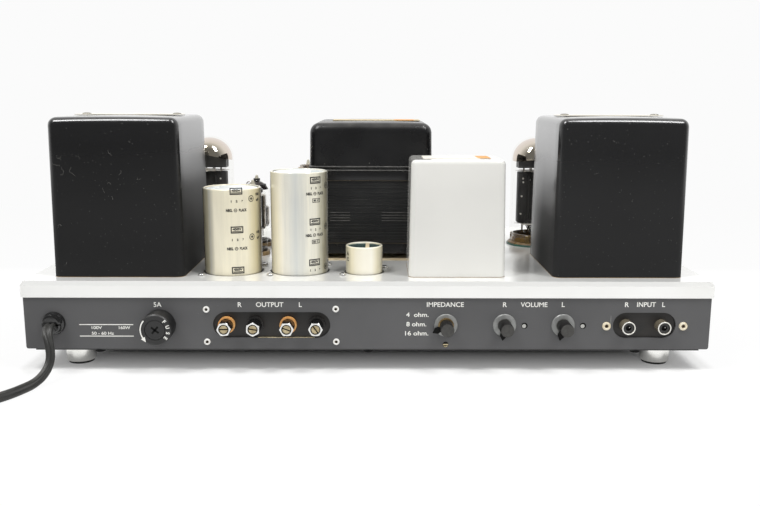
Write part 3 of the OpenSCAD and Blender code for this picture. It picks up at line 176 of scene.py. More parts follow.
def wire(path, r, n=8):  # round wire along points
    path = [Vector(p) for p in path]
    side = Vector((0.31, 0.87, 0.38))  # a direction that no wire takes
    return swept(path, [side] * len(path), arc(0, 0, r, 0, 360 - 360 / n, n - 1))


def newPiece(name, shape, look, body="chassis", sharp=32, stands=()):
    mesh = bpy.data.meshes.new(name)
    mesh.from_pydata([Vector(p) * mm for p in shape[0]], [], shape[1])
    work = bmesh.new()
    work.from_mesh(mesh)
    bmesh.ops.remove_doubles(work, verts=work.verts, dist=1e-7)
    bmesh.ops.recalc_face_normals(work, faces=work.faces)
    work.to_mesh(mesh)
    work.free()
    mesh.shade_smooth()
    mesh.set_sharp_from_angle(angle=math.radians(sharp))
    mesh.materials.append(finish[look])
    piece = bpy.data.objects.new(name, mesh)
    scene.collection.objects.link(piece)
    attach(piece, body)
    if stands:
        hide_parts(*stands)
    return piece


# shader nodes
def feed(tree, socket, v):  # a plain value is set on the socket, another socket is linked to it
    if isinstance(v, (int, float, tuple)):
        socket.default_value = v
    else:
        tree.links.new(v, socket)


def mathNode(tree, operation, *values):
    node = tree.nodes.new("ShaderNodeMath")
    node.operation = operation
    for socket, v in zip(node.inputs, values):
        feed(tree, socket, v)
    return node.outputs[0]


def times(tree, a, b):
    return mathNode(tree, "MULTIPLY", a, b)


def larger(tree, a, b):
    return mathNode(tree, "MAXIMUM", a, b)


def stepped(tree, value, low, high, first=0.0, last=1.0):  # first up to low, last from high on
    node = tree.nodes.new("ShaderNodeMapRange")
    for socket, v in zip(node.inputs, (value, low, high, first, last)):
        feed(tree, socket, v)
    return node.outputs[0]


def axes(tree, vector):  # its x, y and z
    node = tree.nodes.new("ShaderNodeSeparateXYZ")
    tree.links.new(vector, node.inputs[0])
    return node.outputs


def objectPoint(tree):
    return tree.nodes.new("ShaderNodeTexCoord").outputs["Object"]


def geometry(tree, what="Normal"):
    return tree.nodes.new("ShaderNodeNewGeometry").outputs[what]


def noiseAt(tree, point, scale, detail=3.0):
    node = tree.nodes.new("ShaderNodeTexNoise")
    for label, v in (("Vector", point), ("Scale", scale), ("Detail", detail)):
        feed(tree, node.inputs[label], v)
    return node.outputs["Fac"]


def cellsAt(tree, point, scale):  # cells: distance from the middle, and three chances for each
    node = tree.nodes.new("ShaderNodeTexVoronoi")
    for label, v in (("Vector", point), ("Scale", scale)):
        feed(tree, node.inputs[label], v)
    chances = tree.nodes.new("ShaderNodeSeparateColor")
    tree.links.new(node.outputs["Color"], chances.inputs[0])
    return node.outputs["Distance"], chances.outputs


def mixColour(tree, share, a, b):
    node = tree.nodes.new("ShaderNodeMix")
    node.data_type = "RGBA"
    for socket, v in ((node.inputs["Factor"], share), (node.inputs[6], a), (node.inputs[7], b)):
        feed(tree, socket, v)
    return node.outputs[2]


def mixShader(tree, share, a, b):
    node = tree.nodes.new("ShaderNodeMixShader")
    for socket, v in zip(node.inputs, (share, a, b)):
        tree.links.new(v, socket)
    return node.outputs[0]


def newMaterial(name):
    mat = bpy.data.materials.new(name)
    mat.use_nodes = True
    return mat, mat.node_tree, mat.node_tree.nodes["Principled BSDF"]


def tone(c):  # screen colour to scene colour
    return tuple((v / 255 / 12.92 if v <= 10.3 else ((v / 255 + 0.055) / 1.055) ** 2.4) for v in c) + (1.0,)


# shared effects as node groups
def newGroup(name, ins, outs):
    group = bpy.data.node_groups.new(name, "ShaderNodeTree")
    for label, value in ins.items():
        kind = "NodeSocketVector" if isinstance(value, tuple) else "NodeSocketFloat"
        group.interface.new_socket(label, in_out="INPUT", socket_type=kind).default_value = value
    for label in outs:
        group.interface.new_socket(label, in_out="OUTPUT", socket_type="NodeSocketFloat")
    return group, group.nodes.new("NodeGroupInput").outputs, group.nodes.new("NodeGroupOutput").inputs


def unevenGroup():  # slow cloudiness and a fine tooth, as masks
    g, given, made = newGroup("unevenFinish", {"Cloud Scale": 40.0, "Tooth Scale": 900.0}, ("Cloud", "Tooth"))
    point = objectPoint(g)
    g.links.new(stepped(g, noiseAt(g, point, given["Cloud Scale"]), 0.32, 0.68), made["Cloud"])
    g.links.new(noiseAt(g, point, given["Tooth Scale"], 2.0), made["Tooth"])
    return g


def streakGroup():  # long fine lines along one axis
    g, given, made = newGroup("brushLines", {"Stretch": (1500, 1500, 20)}, ("Streak", "Band"))
    scaled = g.nodes.new("ShaderNodeVectorMath")
    scaled.operation = "MULTIPLY"
    g.links.new(objectPoint(g), scaled.inputs[0])
    g.links.new(given["Stretch"], scaled.inputs[1])
    g.links.new(noiseAt(g, scaled.outputs[0], 1.0, 4.0), made["Streak"])
    g.links.new(noiseAt(g, scaled.outputs[0], 0.12, 2.0), made["Band"])
    return g


def dustGroup():  # faint specks on any side, and dust that settles on what faces up
    g, given, made = newGroup("dustFall", {"Speck Scale": 260.0, "Speck Share": 0.06}, ("Specks", "Settled"))
    point = objectPoint(g)
    distance, chances = cellsAt(g, point, given["Speck Scale"])
    chosen = mathNode(g, "LESS_THAN", chances[0], given["Speck Share"])
    dot = times(g, chosen, stepped(g, distance, 0.11, 0.04))
    g.links.new(times(g, dot, mathNode(g, "POWER", chances[1], 2.5)), made["Specks"])
    upward = stepped(g, axes(g, geometry(g))[2], 0.35, 0.95)
    patches = stepped(g, noiseAt(g, point, 55.0, 5.0), 0.35, 0.75)
    g.links.new(times(g, upward, patches), made["Settled"])
    return g


def scratchGroup():  # short thin scratches that lean one way
    g, given, made = newGroup("shortScratches", {"Share": 0.1}, ("Scratch",))
    leaning = g.nodes.new("ShaderNodeMapping")
    leaning.inputs["Rotation"].default_value = (0.35, 0.62, 0.2)
    leaning.inputs["Scale"].default_value = (420, 420, 26)
    g.links.new(objectPoint(g), leaning.inputs["Vector"])
    distance, chances = cellsAt(g, leaning.outputs[0], 1.0)
    chosen = mathNode(g, "LESS_THAN", chances[2], given["Share"])
    g.links.new(times(g, chosen, mathNode(g, "LESS_THAN", distance, 0.11)), made["Scratch"])
    return g


groups = {"uneven": unevenGroup(), "streak": streakGroup(), "dust": dustGroup(), "scratch": scratchGroup()}
print("node groups built")


def placeGroup(tree, key, **values):
    node = tree.nodes.new("ShaderNodeGroup")
    node.node_tree = groups[key]
    for label, v in values.items():
        node.inputs[label.replace("_", " ")].default_value = v
    return node.outputs


def paintedReflectionColour(tree, bands):  # painted reflection and shade: tones that follow the way a drawn wall faces, from left to right
    ramp = tree.nodes.new("ShaderNodeValToRGB")
    tree.links.new(stepped(tree, axes(tree, geometry(tree))[0], -1.0, 1.0), ramp.inputs[0])
    marks = ramp.color_ramp.elements
    while len(marks) < len(bands):
        marks.new(0.5)
    for mark, (spot, shade) in zip(marks, bands):
        mark.position, mark.color = spot, tone(shade)
    return ramp.outputs[0]


surfaceSet = {"dust": (205, 200, 190), "relief": 0.0002, "bands": 0.85, "scratch": 0.4, "lines": (0.6, 0.4),
              "lineSpan": (0.38, 0.62), "paintedShadeSpan": (-0.75, -0.45)}


def surface(name, colour, other, rough, cloud, bump, metal=0.0, tooth=900.0, fine=0.15, streak=None,
            streakShare=0.5, specks=None, dust=0.0, scratches=0.0, coat=0.0, coatRough=0.12, specular=0.5,
            speckTone=(225, 225, 222), edge=None, grade=None, deep=None, sides=None, coatGrade=None,
            bands=None):
    s = surfaceSet
    mat, tree, bsdf = newMaterial(name)
    uneven = placeGroup(tree, "uneven", Cloud_Scale=cloud, Tooth_Scale=tooth)
    paint = mixColour(tree, uneven["Cloud"], tone(colour), tone(other))
    height = uneven["Tooth"]
    roughness = stepped(tree, uneven["Cloud"], 0.0, 1.0, *rough)
    if grade or coatGrade:
        spot = axes(tree, objectPoint(tree))
    if grade:  # duller towards the foot, and where deep is given only from there to the rear
        low, high, lowRough = grade
        dull = times(tree, stepped(tree, spot[2], high, low), lowRough - rough[1])
        if deep:
            dull = times(tree, dull, stepped(tree, spot[1], *deep))
        roughness = mathNode(tree, "ADD", roughness, dull)
    # painted reflection and shade: a tone mixed in for each way the wall faces
    if bands:
        paint = mixColour(tree, s["bands"], paint, paintedReflectionColour(tree, bands))
    if streak:
        lines = placeGroup(tree, "streak", Stretch=streak)
        height = lines["Streak"]
        broad, thin = s["lines"]
        share = mathNode(tree, "ADD", times(tree, lines["Band"], broad), times(tree, lines["Streak"], thin))
        share = times(tree, stepped(tree, share, *s["lineSpan"]), streakShare)
        paint = mixColour(tree, share, paint, tone(other))
    else:
        paint = mixColour(tree, times(tree, height, fine), paint, tone(other))
    if edge:  # painted reflection: another tone towards the silhouette
        facing = tree.nodes.new("ShaderNodeLayerWeight").outputs["Facing"]
        paint = mixColour(tree, stepped(tree, facing, *edge[1:]), paint, tone(edge[0]))
    if sides:  # painted light and shade: another tone on all that does not face the rear
        rearward = axes(tree, geometry(tree, "True Normal"))[1]
        paint = mixColour(tree, stepped(tree, rearward, *s["paintedShadeSpan"]), paint, tone(sides))
    if scratches:
        lines = placeGroup(tree, "scratch", Share=scratches)
        paint = mixColour(tree, times(tree, lines["Scratch"], s["scratch"]), paint, tone(speckTone))
    if specks or dust:
        scale, chance = specks or (100.0, 0.0)
        fall = placeGroup(tree, "dust", Speck_Scale=scale, Speck_Share=chance)
        paint = mixColour(tree, times(tree, fall["Settled"], dust), paint, tone(s["dust"]))
        paint = mixColour(tree, fall["Specks"], paint, tone(speckTone))
    if coatGrade:  # polish only above a height
        coat = stepped(tree, spot[2], *coatGrade)
    relief = tree.nodes.new("ShaderNodeBump")
    for label, v in (("Strength", bump), ("Distance", s["relief"]), ("Height", height)):
        feed(tree, relief.inputs[label], v)
    for label, v in (("Base Color", paint), ("Roughness", roughness), ("Metallic", metal),
                     ("Coat Weight", coat), ("Coat Roughness", coatRough), ("Specular IOR Level", specular),
                     ("Normal", relief.outputs[0])):
        feed(tree, bsdf.inputs[label], v)
    return mat


def look(colour, other, rough, cloud, bump, **more):
    return dict(more, colour=colour, other=other, rough=rough, cloud=cloud, bump=bump)


coverLook = dict(tooth=1500, fine=0.1, dust=0.05, coatRough=0.14, specular=0.42, specks=(300, 0.8),
                 speckTone=(105, 105, 102))
canLook = dict(streak=(900, 900, 45), coat=0.6)

# each finish: two colours that mix in clouds, their roughness, the clouds' scale, the bump, and more
finishSet = {
    "plateSatin": look((255, 255, 253), (252, 252, 249), (0.18, 0.26), 18, 0.04, metal=0.4, dust=0.1,
                       streak=(30, 1400, 1400), streakShare=0.25),
    "wallGrey": look((87, 87, 88), (95, 95, 96), (0.5, 0.62), 22, 0.25, tooth=1600, specks=(230, 0.05),
                     scratches=0.03, speckTone=(170, 170, 168)),
    "bottomDark": look((62, 62, 63), (74, 74, 74), (0.5, 0.65), 30, 0.2),
    "footAluminium": look((255, 255, 252), (240, 239, 234), (0.14, 0.22), 60, 0.02, metal=1.0,
                          streak=(900, 900, 12), streakShare=0.3),
    "rubberBlack": look((24, 24, 24), (38, 38, 37), (0.7, 0.85), 120, 0.4, tooth=2600),
    "steelBright": look((222, 222, 220), (186, 185, 181), (0.16, 0.3), 240, 0.06, metal=0.75),
    "brassOld": look((214, 200, 164), (176, 158, 120), (0.25, 0.42), 260, 0.1, metal=0.5),
    # painted light and shade: faces towards the rear near white, all other faces near black
    "nutSteel": look((252, 252, 250), (236, 236, 233), (0.2, 0.3), 240, 0.04, metal=0.2, sides=(20, 20, 21)),
    "screwSteel": look((255, 255, 252), (244, 242, 236), (0.18, 0.3), 400, 0.04, metal=0.05),
    "screwNickel": look((250, 243, 224), (232, 216, 180), (0.18, 0.3), 400, 0.04, metal=0.1),
    # black parts, and painted shade in recesses and holes
    "blackAndRecessShade": look((9, 9, 9), (16, 15, 14), (0.6, 0.7), 300, 0.05, specular=0.2),
    "recessBrown": look((132, 112, 84), (84, 68, 48), (0.4, 0.5), 700, 0.05),
    # painted highlights
    "paintedHighlightCream": look((238, 228, 196), (214, 196, 150), (0.3, 0.4), 300, 0.05),
    "pinGrey": look((206, 206, 202), (180, 180, 174), (0.3, 0.4), 600, 0.05),
    "insulatorGrey": look((60, 60, 59), (44, 44, 43), (0.35, 0.5), 300, 0.05),
    "brassDull": look((156, 132, 88), (98, 80, 52), (0.25, 0.4), 300, 0.1, metal=0.6),
    # painted shade: the left cover's black is set darker than the right's, one paint as a shaded and a lit
    # copy
    "coverLeft": look((12, 12, 13), (16, 16, 17), (0.22, 0.25), 14, 0.02, grade=(0.08, 0.15, 0.72),
                      coatGrade=(0.12, 0.166), **coverLook),
    "coverRight": look((19, 19, 20), (23, 23, 24), (0.22, 0.25), 14, 0.02, grade=(0.075, 0.145, 0.72),
                       coatGrade=(0.1, 0.16), deep=(-0.02, -0.06), **coverLook),
    "chokeGrey": look((232, 231, 226), (227, 226, 221), (0.12, 0.17), 16, 0.03, tooth=1800, dust=0.05,
                      coat=0.7),
    "stackBlack": look((19, 20, 21), (29, 30, 31), (0.42, 0.6), 35, 0.3, streak=(14, 14, 2600), dust=0.2,
                       specks=(200, 0.15), speckTone=(120, 118, 112)),
    "frameBlack": look((17, 17, 18), (23, 23, 24), (0.24, 0.32), 45, 0.06, tooth=1400, dust=0.12,
                       specks=(240, 0.25), speckTone=(140, 138, 132)),
    "edgeGrey": look((104, 103, 100), (72, 71, 69), (0.4, 0.55), 300, 0.2),
    # painted reflection and shade on the can walls: darker towards both outlines, cream and silver bands
    # between
    "canTallMetal": look((250, 244, 222), (200, 202, 198), (0.18, 0.26), 30, 0.06, metal=0.1,
                         streakShare=0.42, bands=(
        (0.0, (130, 118, 80)), (0.05, (245, 234, 196)), (0.25, (250, 244, 226)), (0.48, (212, 215, 212)),
        (0.7, (255, 250, 230)), (0.82, (237, 232, 212)), (0.88, (186, 181, 156)), (0.95, (130, 123, 98)),
        (1.0, (80, 72, 50))), **canLook),
    "canWideMetal": look((252, 245, 222), (216, 210, 190), (0.18, 0.26), 30, 0.06, metal=0.1,
                         streakShare=0.42, bands=(
        (0.0, (110, 100, 66)), (0.13, (150, 144, 118)), (0.18, (174, 174, 165)), (0.26, (240, 233, 208)),
        (0.8, (252, 244, 216)), (0.95, (212, 198, 148)), (1.0, (90, 80, 55))), **canLook),
    "canSmallMetal": look((255, 250, 232), (248, 242, 224), (0.18, 0.26), 30, 0.06, streakShare=0.35, bands=(
        (0.0, (100, 92, 62)), (0.09, (190, 180, 142)), (0.18, (232, 222, 186)), (0.3, (238, 231, 208)),
        (0.5, (245, 241, 226)), (0.7, (250, 247, 234)), (0.8, (234, 226, 198)), (0.88, (192, 183, 146)),
        (0.95, (146, 136, 98)), (1.0, (90, 82, 56))), **canLook),
    "canDisc": look((254, 255, 254), (230, 240, 240), (0.2, 0.3), 70, 0.02),
    "canDiscDark": look((78, 104, 100), (52, 74, 74), (0.06, 0.1), 70, 0.02, coat=0.6),
    # painted shade in the groove round a can's disc
    "grooveShadeGreen": look((120, 142, 128), (92, 112, 100), (0.3, 0.4), 200, 0.05),
    "coreIron": look((88, 84, 80), (60, 58, 56), (0.5, 0.7), 40, 0.3, metal=0.6, streak=(20, 20, 2600)),
    "boardBlack": look((28, 27, 26), (44, 41, 38), (0.4, 0.55), 90, 0.1, streak=(18, 900, 900)),
    "ringOrange": look((248, 190, 118), (230, 160, 90), (0.35, 0.5), 160, 0.1),
    "ringBlack": look((26, 25, 25), (44, 42, 40), (0.4, 0.55), 160, 0.1),
    # painted shade: faces that do not face the rear near black
    "fuseBlack": look((34, 34, 34), (44, 44, 44), (0.34, 0.46), 120, 0.1, tooth=2200, dust=0.1,
                      sides=(13, 13, 13)),
    # painted shade: the flanks near black
    "knobDark": look((74, 73, 70), (60, 59, 57), (0.4, 0.5), 500, 0.1, sides=(13, 11, 9)),
    "dialMetal": look((158, 159, 157), (138, 139, 137), (0.3, 0.4), 200, 0.08, metal=0.3),
    "controlMetal": look((190, 188, 180), (150, 148, 140), (0.3, 0.45), 90, 0.1, metal=0.8),
    # painted reflection: faces that do not face the rear brownish grey
    "jackMetal": look((252, 251, 247), (238, 235, 226), (0.18, 0.26), 220, 0.04, metal=0.2,
                      sides=(122, 114, 98)),
    "boardGreen": look((46, 84, 60), (34, 66, 48), (0.35, 0.5), 60, 0.1),
    "cordBlack": look((45, 45, 44), (56, 56, 54), (0.36, 0.5), 90, 0.12, tooth=2400, dust=0.12),
    "plugBlack": look((34, 34, 34), (44, 44, 44), (0.4, 0.55), 110, 0.15, tooth=2000),
    "bushBlack": look((13, 13, 13), (20, 20, 20), (0.2, 0.3), 120, 0.03, coat=0.8),
    "socketTeal": look((58, 112, 96), (44, 84, 72), (0.3, 0.42), 150, 0.08),
    "socketTan": look((150, 126, 88), (112, 90, 60), (0.35, 0.5), 150, 0.1),
    "baseAmber": look((132, 104, 56), (66, 48, 26), (0.2, 0.34), 160, 0.05, coat=0.5),
    "anodeBlack": look((44, 43, 43), (60, 59, 58), (0.5, 0.65), 90, 0.2, tooth=2600),
    "finGrey": look((98, 98, 99), (122, 122, 121), (0.4, 0.55), 90, 0.2, tooth=2600),
    "micaWhite": look((236, 233, 226), (208, 200, 188), (0.3, 0.45), 150, 0.1),
    "micaTan": look((196, 174, 140), (160, 134, 100), (0.3, 0.45), 150, 0.1),
    "gridWire": look((206, 200, 190), (150, 138, 126), (0.22, 0.36), 200, 0.05, metal=0.8),
    # painted reflection: a pale pinkish tone towards the outline of the getter mirror
    "getterSilver": look((206, 196, 178), (222, 214, 202), (0.03, 0.07), 45, 0.02, metal=1.0,
                         edge=((226, 214, 206), 0.2, 0.6)),
    "getterDark": look((78, 72, 68), (34, 32, 31), (0.12, 0.2), 60, 0.02, metal=0.8),
    "nibPale": look((232, 228, 212), (206, 200, 182), (0.1, 0.2), 200, 0.02, metal=0.2),
    "socketDark": look((48, 38, 28), (30, 24, 18), (0.3, 0.45), 150, 0.08),
    "nameplateCream": look((242, 238, 226), (230, 224, 208), (0.3, 0.4), 60, 0.03, streak=(20, 1500, 1500)),
    "rivetGrey": look((172, 168, 156), (132, 128, 118), (0.25, 0.4), 300, 0.08, metal=0.6),
    "labelWhite": look((246, 243, 234), (236, 230, 216), (0.4, 0.5), 40, 0.04),
    "labelTan": look((214, 198, 160), (196, 176, 134), (0.4, 0.5), 40, 0.04),
    "labelOrange": look((232, 170, 84), (220, 150, 66), (0.4, 0.5), 40, 0.04),
    "gasketTan": look((150, 126, 88), (112, 90, 60), (0.6, 0.75), 90, 0.3),
    "matCream": look((214, 200, 170), (190, 172, 138), (0.6, 0.75), 90, 0.2),
    "paperDark": look((92, 82, 64), (66, 58, 46), (0.6, 0.75), 160, 0.2),
    "lintPale": look((160, 158, 152), (120, 118, 114), (0.6, 0.75), 300, 0.1),
    "inkWhite": look((255, 255, 250), (248, 247, 240), (0.5, 0.6), 300, 0.05),
    "inkBlack": look((16, 16, 18), (34, 33, 32), (0.5, 0.6), 300, 0.05),
    "lampRed": look((190, 22, 18), (140, 12, 12), (0.1, 0.2), 120, 0.02, coat=0.6),
    "tieBlack": look((36, 36, 36), (52, 52, 52), (0.5, 0.65), 260, 0.2),
}
finish = {name: surface(name, **f) for name, f in finishSet.items()}
glassSet = {"tint": (253, 253, 252), "deeper": 8, "rough": (0.02, 0.06), "rim": 1.2, "cloud": 60.0,
            "tooth": 400.0}


def bulbGlass(name, c):  # thin glass: clear to look through, mirrored towards its outline
    mat, tree, bsdf = newMaterial(name)
    uneven = placeGroup(tree, "uneven", Cloud_Scale=c["cloud"], Tooth_Scale=c["tooth"])
    other = tuple(v - c["deeper"] for v in c["tint"])
    feed(tree, bsdf.inputs["Base Color"], mixColour(tree, uneven["Cloud"], tone(c["tint"]), tone(other)))
    feed(tree, bsdf.inputs["Roughness"], stepped(tree, uneven["Cloud"], 0.0, 1.0, *c["rough"]))
    bsdf.inputs["Metallic"].default_value = 1.0
    clear = tree.nodes.new("ShaderNodeBsdfTransparent")
    clear.inputs[0].default_value = tone(c["tint"])
    fresnel = tree.nodes.new("ShaderNodeFresnel")
    fresnel.inputs["IOR"].default_value = c["rim"]
    shadow = tree.nodes.new("ShaderNodeLightPath").outputs["Is Shadow Ray"]
    lit = mathNode(tree, "SUBTRACT", 1.0, larger(tree, shadow, geometry(tree, "Backfacing")))
    mixed = mixShader(tree, times(tree, fresnel.outputs[0], lit), clear.outputs[0], bsdf.outputs[0])
    tree.links.new(mixed, tree.nodes["Material Output"].inputs[0])
    return mat


finish["bulbGlass"] = bulbGlass("bulbGlass", glassSet)
print("finishes:", len(finish))

# mains cord, along the route of the part: across and away from the bush, share of its height, wide direction
bushNose = Vector((-209.5, yWall - 6.0, 33.0))
cordSet = {"wide": 6.6, "thick": 3.3, "web": 0.95, "low": 3.3, "steps": 6, "route": [
    ((0, 0, 1), (-1, 0, 0)), ((0.2, -3.5, 1), (-1, 0, 0)), ((0.7, -7.5, 0.96), (-0.95, -0.1, 0.1)),
    ((1.6, -10.5, 0.87), (-0.8, -0.5, 0.2)), ((2.6, -12, 0.77), (-0.6, -0.75, 0.1)),
    ((3.5, -13, 0.66), (-0.5, -0.85, 0)), ((4.1, -13.8, 0.54), (-0.45, -0.9, 0)),
    ((4.4, -15, 0.42), (-0.45, -0.85, 0.2)), ((4.2, -17, 0.3), (-0.4, -0.7, 0.5)),
    ((3.4, -20, 0.19), (-0.3, -0.4, 0.8)), ((1.8, -24, 0.09), (-0.2, -0.2, 0.95)),
    ((0, -28.5, 0.03), (0, 0, 1)), ((-2, -33.5, 0), (0, 0, 1)), ((-4.6, -41, 0), (0, 0, 1)),
    ((-7.8, -48.2, 0), (0, 0, 1)), ((-12, -55, 0), (0, 0, 1)), ((-17.5, -62.5, 0), (0, 0, 1)),
    ((-23.5, -71, 0), (0, 0, 1))]}
coilSet = {"away": (-69.5, -60.0), "start": -35.5, "step": 7.5, "pitch": 3.9, "outer": 43.85, "inner": 32.15,
           "turns": 3, "climb": 180.0, "dip": 2.0, "top": 10.5, "leadIn": 6.6, "leadOut": 16.0}
# each row of the plug's body: along, wide, high, corner
plugSet = {"ribs": 9, "ribStep": 2.0, "ribR": 4.1, "widen": 0.16,
           "rib": ((0, -0.5), (0.3, 0), (1.3, 0), (1.6, -0.5)),  # along the cord, out from the rib
           "body": ((18.2, 13, 12.6, 6), (20.5, 19, 16.5, 6), (22.5, 24.4, 20.0, 5), (25, 26, 21, 4.6),
                    (30, 24.4, 20.4, 4.6), (36, 23.6, 20, 4.6), (42, 24.6, 20.4, 4.4), (47, 26, 21, 4.2),
                    (51.2, 26, 21, 4), (51.8, 25.4, 20.4, 3.6), (52, 24.4, 19.4, 3))}
tieSet = {"aim": 250.0, "r": 38.0, "middle": 7.05, "loop": (16.3, 13.9, 2.6),
          "band": ((-2.2, -0.15), (2.2, -0.15), (2.2, 0.2), (-2.2, 0.2)), "knot": (5.2, 3.4, 2.0, 0.8, 0.4),
          "top": 14.1}
upward = Vector((0, 0, 1))


def smoothed(points, k):  # one smooth curve through all points
    n = len(points) - 1
    line = []
    for i in range(n):
        a, b, c, d = points[max(i - 1, 0)], points[i], points[i + 1], points[min(i + 2, n)]
        for t in (j / k for j in range(k)):
            line.append(b + (c - a) * t / 2 + (2 * a - 5 * b + 4 * c - d) * t * t / 2
                        + (3 * b - a - 3 * c + d) * t ** 3 / 2)
    return line + [points[n]]


def heading(a):
    return Vector((*polar(1, a), 0))


coilMiddle = Vector((bushNose.x + coilSet["away"][0], bushNose.y + coilSet["away"][1], 0))


def coilPoint(a):  # three turns inward, a climb, three turns outward on top
    c, down = coilSet, coilSet["turns"] * 360
    share = min(max((a - down) / c["climb"], 0), 1)
    if a < down:
        r = c["outer"] - c["pitch"] * a / 360
    elif a < down + c["climb"]:
        r = c["inner"] - c["dip"] * math.sin(math.radians(a - down))
    else:
        r = c["inner"] + c["pitch"] * (a - down - c["climb"]) / 360
    lift = cordSet["low"] + (c["top"] - cordSet["low"]) * (1 - math.cos(math.pi * share)) / 2
    return coilMiddle + r * heading(c["start"] - a) + lift * upward


coilSweep = coilSet["turns"] * 720 + coilSet["climb"]
coilEndAim = coilSet["start"] - coilSweep - 90
coilFirst = coilPoint(0) - coilSet["leadIn"] * heading(coilSet["start"] - 90)
coilLast = coilPoint(coilSweep) + coilSet["leadOut"] * heading(coilEndAim)


def cordPiece():
    c = cordSet
    free = [Vector((bushNose.x + x, bushNose.y + y, c["low"] + share * (bushNose.z - c["low"])))
            for (x, y, share), wide in c["route"]]
    path = smoothed(free + [coilFirst], c["steps"])
    sides = smoothed([Vector(wide) for spot, wide in c["route"]] + [upward], c["steps"])
    count = int(coilSweep / coilSet["step"])
    path += [coilPoint(i * coilSet["step"]) for i in range(count + 1)] + [coilLast]
    sides += [upward] * (count + 2)
    lobe, gap = c["thick"] / 2, math.degrees(math.asin(2 * c["web"] / c["thick"]))
    section = arc(lobe, 0, lobe, gap - 180, 180 - gap, 10) + arc(-lobe, 0, lobe, gap, 360 - gap, 10)
    piece = newPiece("mainsCord", swept(path, sides, section), "cordBlack", sharp=60,
                     stands=("mains_cord", "cord_coil"))
    return piece, path


def plugPiece():  # moulded plug with a ribbed strain relief, its own x along the cord
    c, rows = plugSet, []
    for i in range(c["ribs"]):
        for along, out in c["rib"]:
            r = c["ribR"] + c["widen"] * i + out
            rows.append((i * c["ribStep"] + along, 2 * r + 0.02, 2 * r + 0.02, r))
    rings = [[(x, y, z) for y, z in roundedRing(w, h, r, 8, 2)] for x, w, h, r in rows + list(c["body"])]
    shape = placed(lofted(rings), *coilLast, turn=coilEndAim)
    return newPiece("mainsPlug", shape, "plugBlack", sharp=40, stands=("mains_plug",))


def tiePiece():  # flat tie round all the turns
    c, rings = tieSet, []
    out, along = heading(c["aim"]), heading(c["aim"] + 90)
    foot = coilMiddle + c["r"] * out
    for u, v in roundedRing(*c["loop"], 5, 3):
        away = u * out + v * upward
        p = foot + c["middle"] * upward + away
        rings.append([tuple(p + along * w + away.normalized() * t) for w, t in c["band"]])
    knot = placed(softBlock(*c["knot"]), *(foot + c["top"] * upward), turn=c["aim"])
    shape = joined(lofted(rings + [rings[0]], False, False), knot)
    return newPiece("coilTie", shape, "tieBlack")


mainsCord, cordPath = cordPiece()
mainsPlug, coilTie = plugPiece(), tiePiece()


# drawn covers
def drawnCover(w, d, h, r, topR, draft, crown):  # base at z 0, centre at the origin
    flatW, flatD = w - 2 * draft - 2 * topR, d - 2 * draft - 2 * topR
    rings = []
    for z in (0.0, 0.4, 1.2, h * 0.25, h * 0.5, h * 0.75, h - topR):
        inset = draft * z / h
        rings.append(atHeight(roundedRing(w - 2 * inset, d - 2 * inset, r, 8, 8), z))
    for i in range(1, 9):  # the rounded upper edge
        inward, rise = topR - polar(topR, 90 * i / 8)[0], polar(topR, 90 * i / 8)[1]
        inset = draft + inward
        ring = roundedRing(w - 2 * inset, d - 2 * inset, max(r - inward, 1.5), 8, 8)
        rings.append(atHeight(ring, h - topR + rise))
    for share in (0.93, 0.8, 0.6, 0.4, 0.2, 0.05):  # the top, ring by ring
        rings.append(atHeight(roundedRing(flatW * share, flatD * share, 1.5 * share, 8, 8), h))
    bent = []
    for ring in rings:
        lift = [max(0.0, min(1.0, (z - h + 2 * topR) / (2 * topR))) for x, y, z in ring]
        bent.append([(x, y, z + crown * k * (1 - (2 * x / w) ** 2) * (1 - 0.5 * (2 * y / d) ** 2)
                      - crown * 0.5 * k) for (x, y, z), k in zip(ring, lift)])
    return lofted(bent, low=False)


def panHead(d, h, n=28):
    dome = [(d / 2 * math.sin(math.radians(a)), h * (0.45 + 0.55 * math.cos(math.radians(a))))
            for a in (20, 40, 60, 75, 90)]
    return turned([(0, h)] + dome + [(d / 2, 0.0)], n)


def gasketLine(form, proud):  # edge of the paper under a cover
    ring = roundedRing(form["w"] + 2 * proud, form["d"] + 2 * proud, form["r"], 8, 2)
    return lofted([atHeight(ring, z) for z in (0.0, 0.3)])


coverSet = {"form": {"w": 88.0, "d": 94.0, "h": 107.0, "r": 5.5, "topR": 5.5, "draft": 0.93, "crown": 1.0},
            "x": 168.8, "shift": 0.5, "y": 60.0, "gasket": 0.06}
nameplateSet = {"plate": (74.0, 18.0, 0.5, 2.0, 0.15), "seat": 0.42, "rivets": 31.8, "aside": 1.1,
                "head": (6.0, 1.3), "sunk": 0.35}
lintSet = {"seed": 5, "thin": 0.045, "turn": 1.2, "bends": 5, "sunk": 0.02, "flecks": 46, "across": 0.46,
           "up": (0.08, 0.9), "fleck": (0.12, 0.5), "fluff": {
    "Left": ((-204.9, 82, 6), (-203.2, 69, 7), (-193.5, 68, 8), (-203.4, 75, 5), (-168.7, 82, 5),
             (-164.8, 69, 4), (-204.7, 35, 5), (-172.4, 63, 3), (-153.1, 66, 3), (-174.7, 57, 4),
             (-170.2, 55, 3), (-191.0, 82, 3), (-134.9, 43, 1), (-156.5, 90, 2), (-203.7, 9, 2)),
    "Right": ((202.7, 41, 1.2), (203.0, 26, 1.2), (150.0, 70, 3), (176.0, 52, 2), (161.0, 92, 2))}}


def fluff(rng, x, z, size, y):  # a curled fibre on an upright face
    path, aim = [(x, y, z)], rng.uniform(0, math.tau)
    for i in range(lintSet["bends"]):
        aim += rng.uniform(-lintSet["turn"], lintSet["turn"])
        step = size / lintSet["bends"]
        x, z = x + step * math.cos(aim), z + step * math.sin(aim)
        path.append((x, y, z))
    return wire(path, lintSet["thin"], 5)


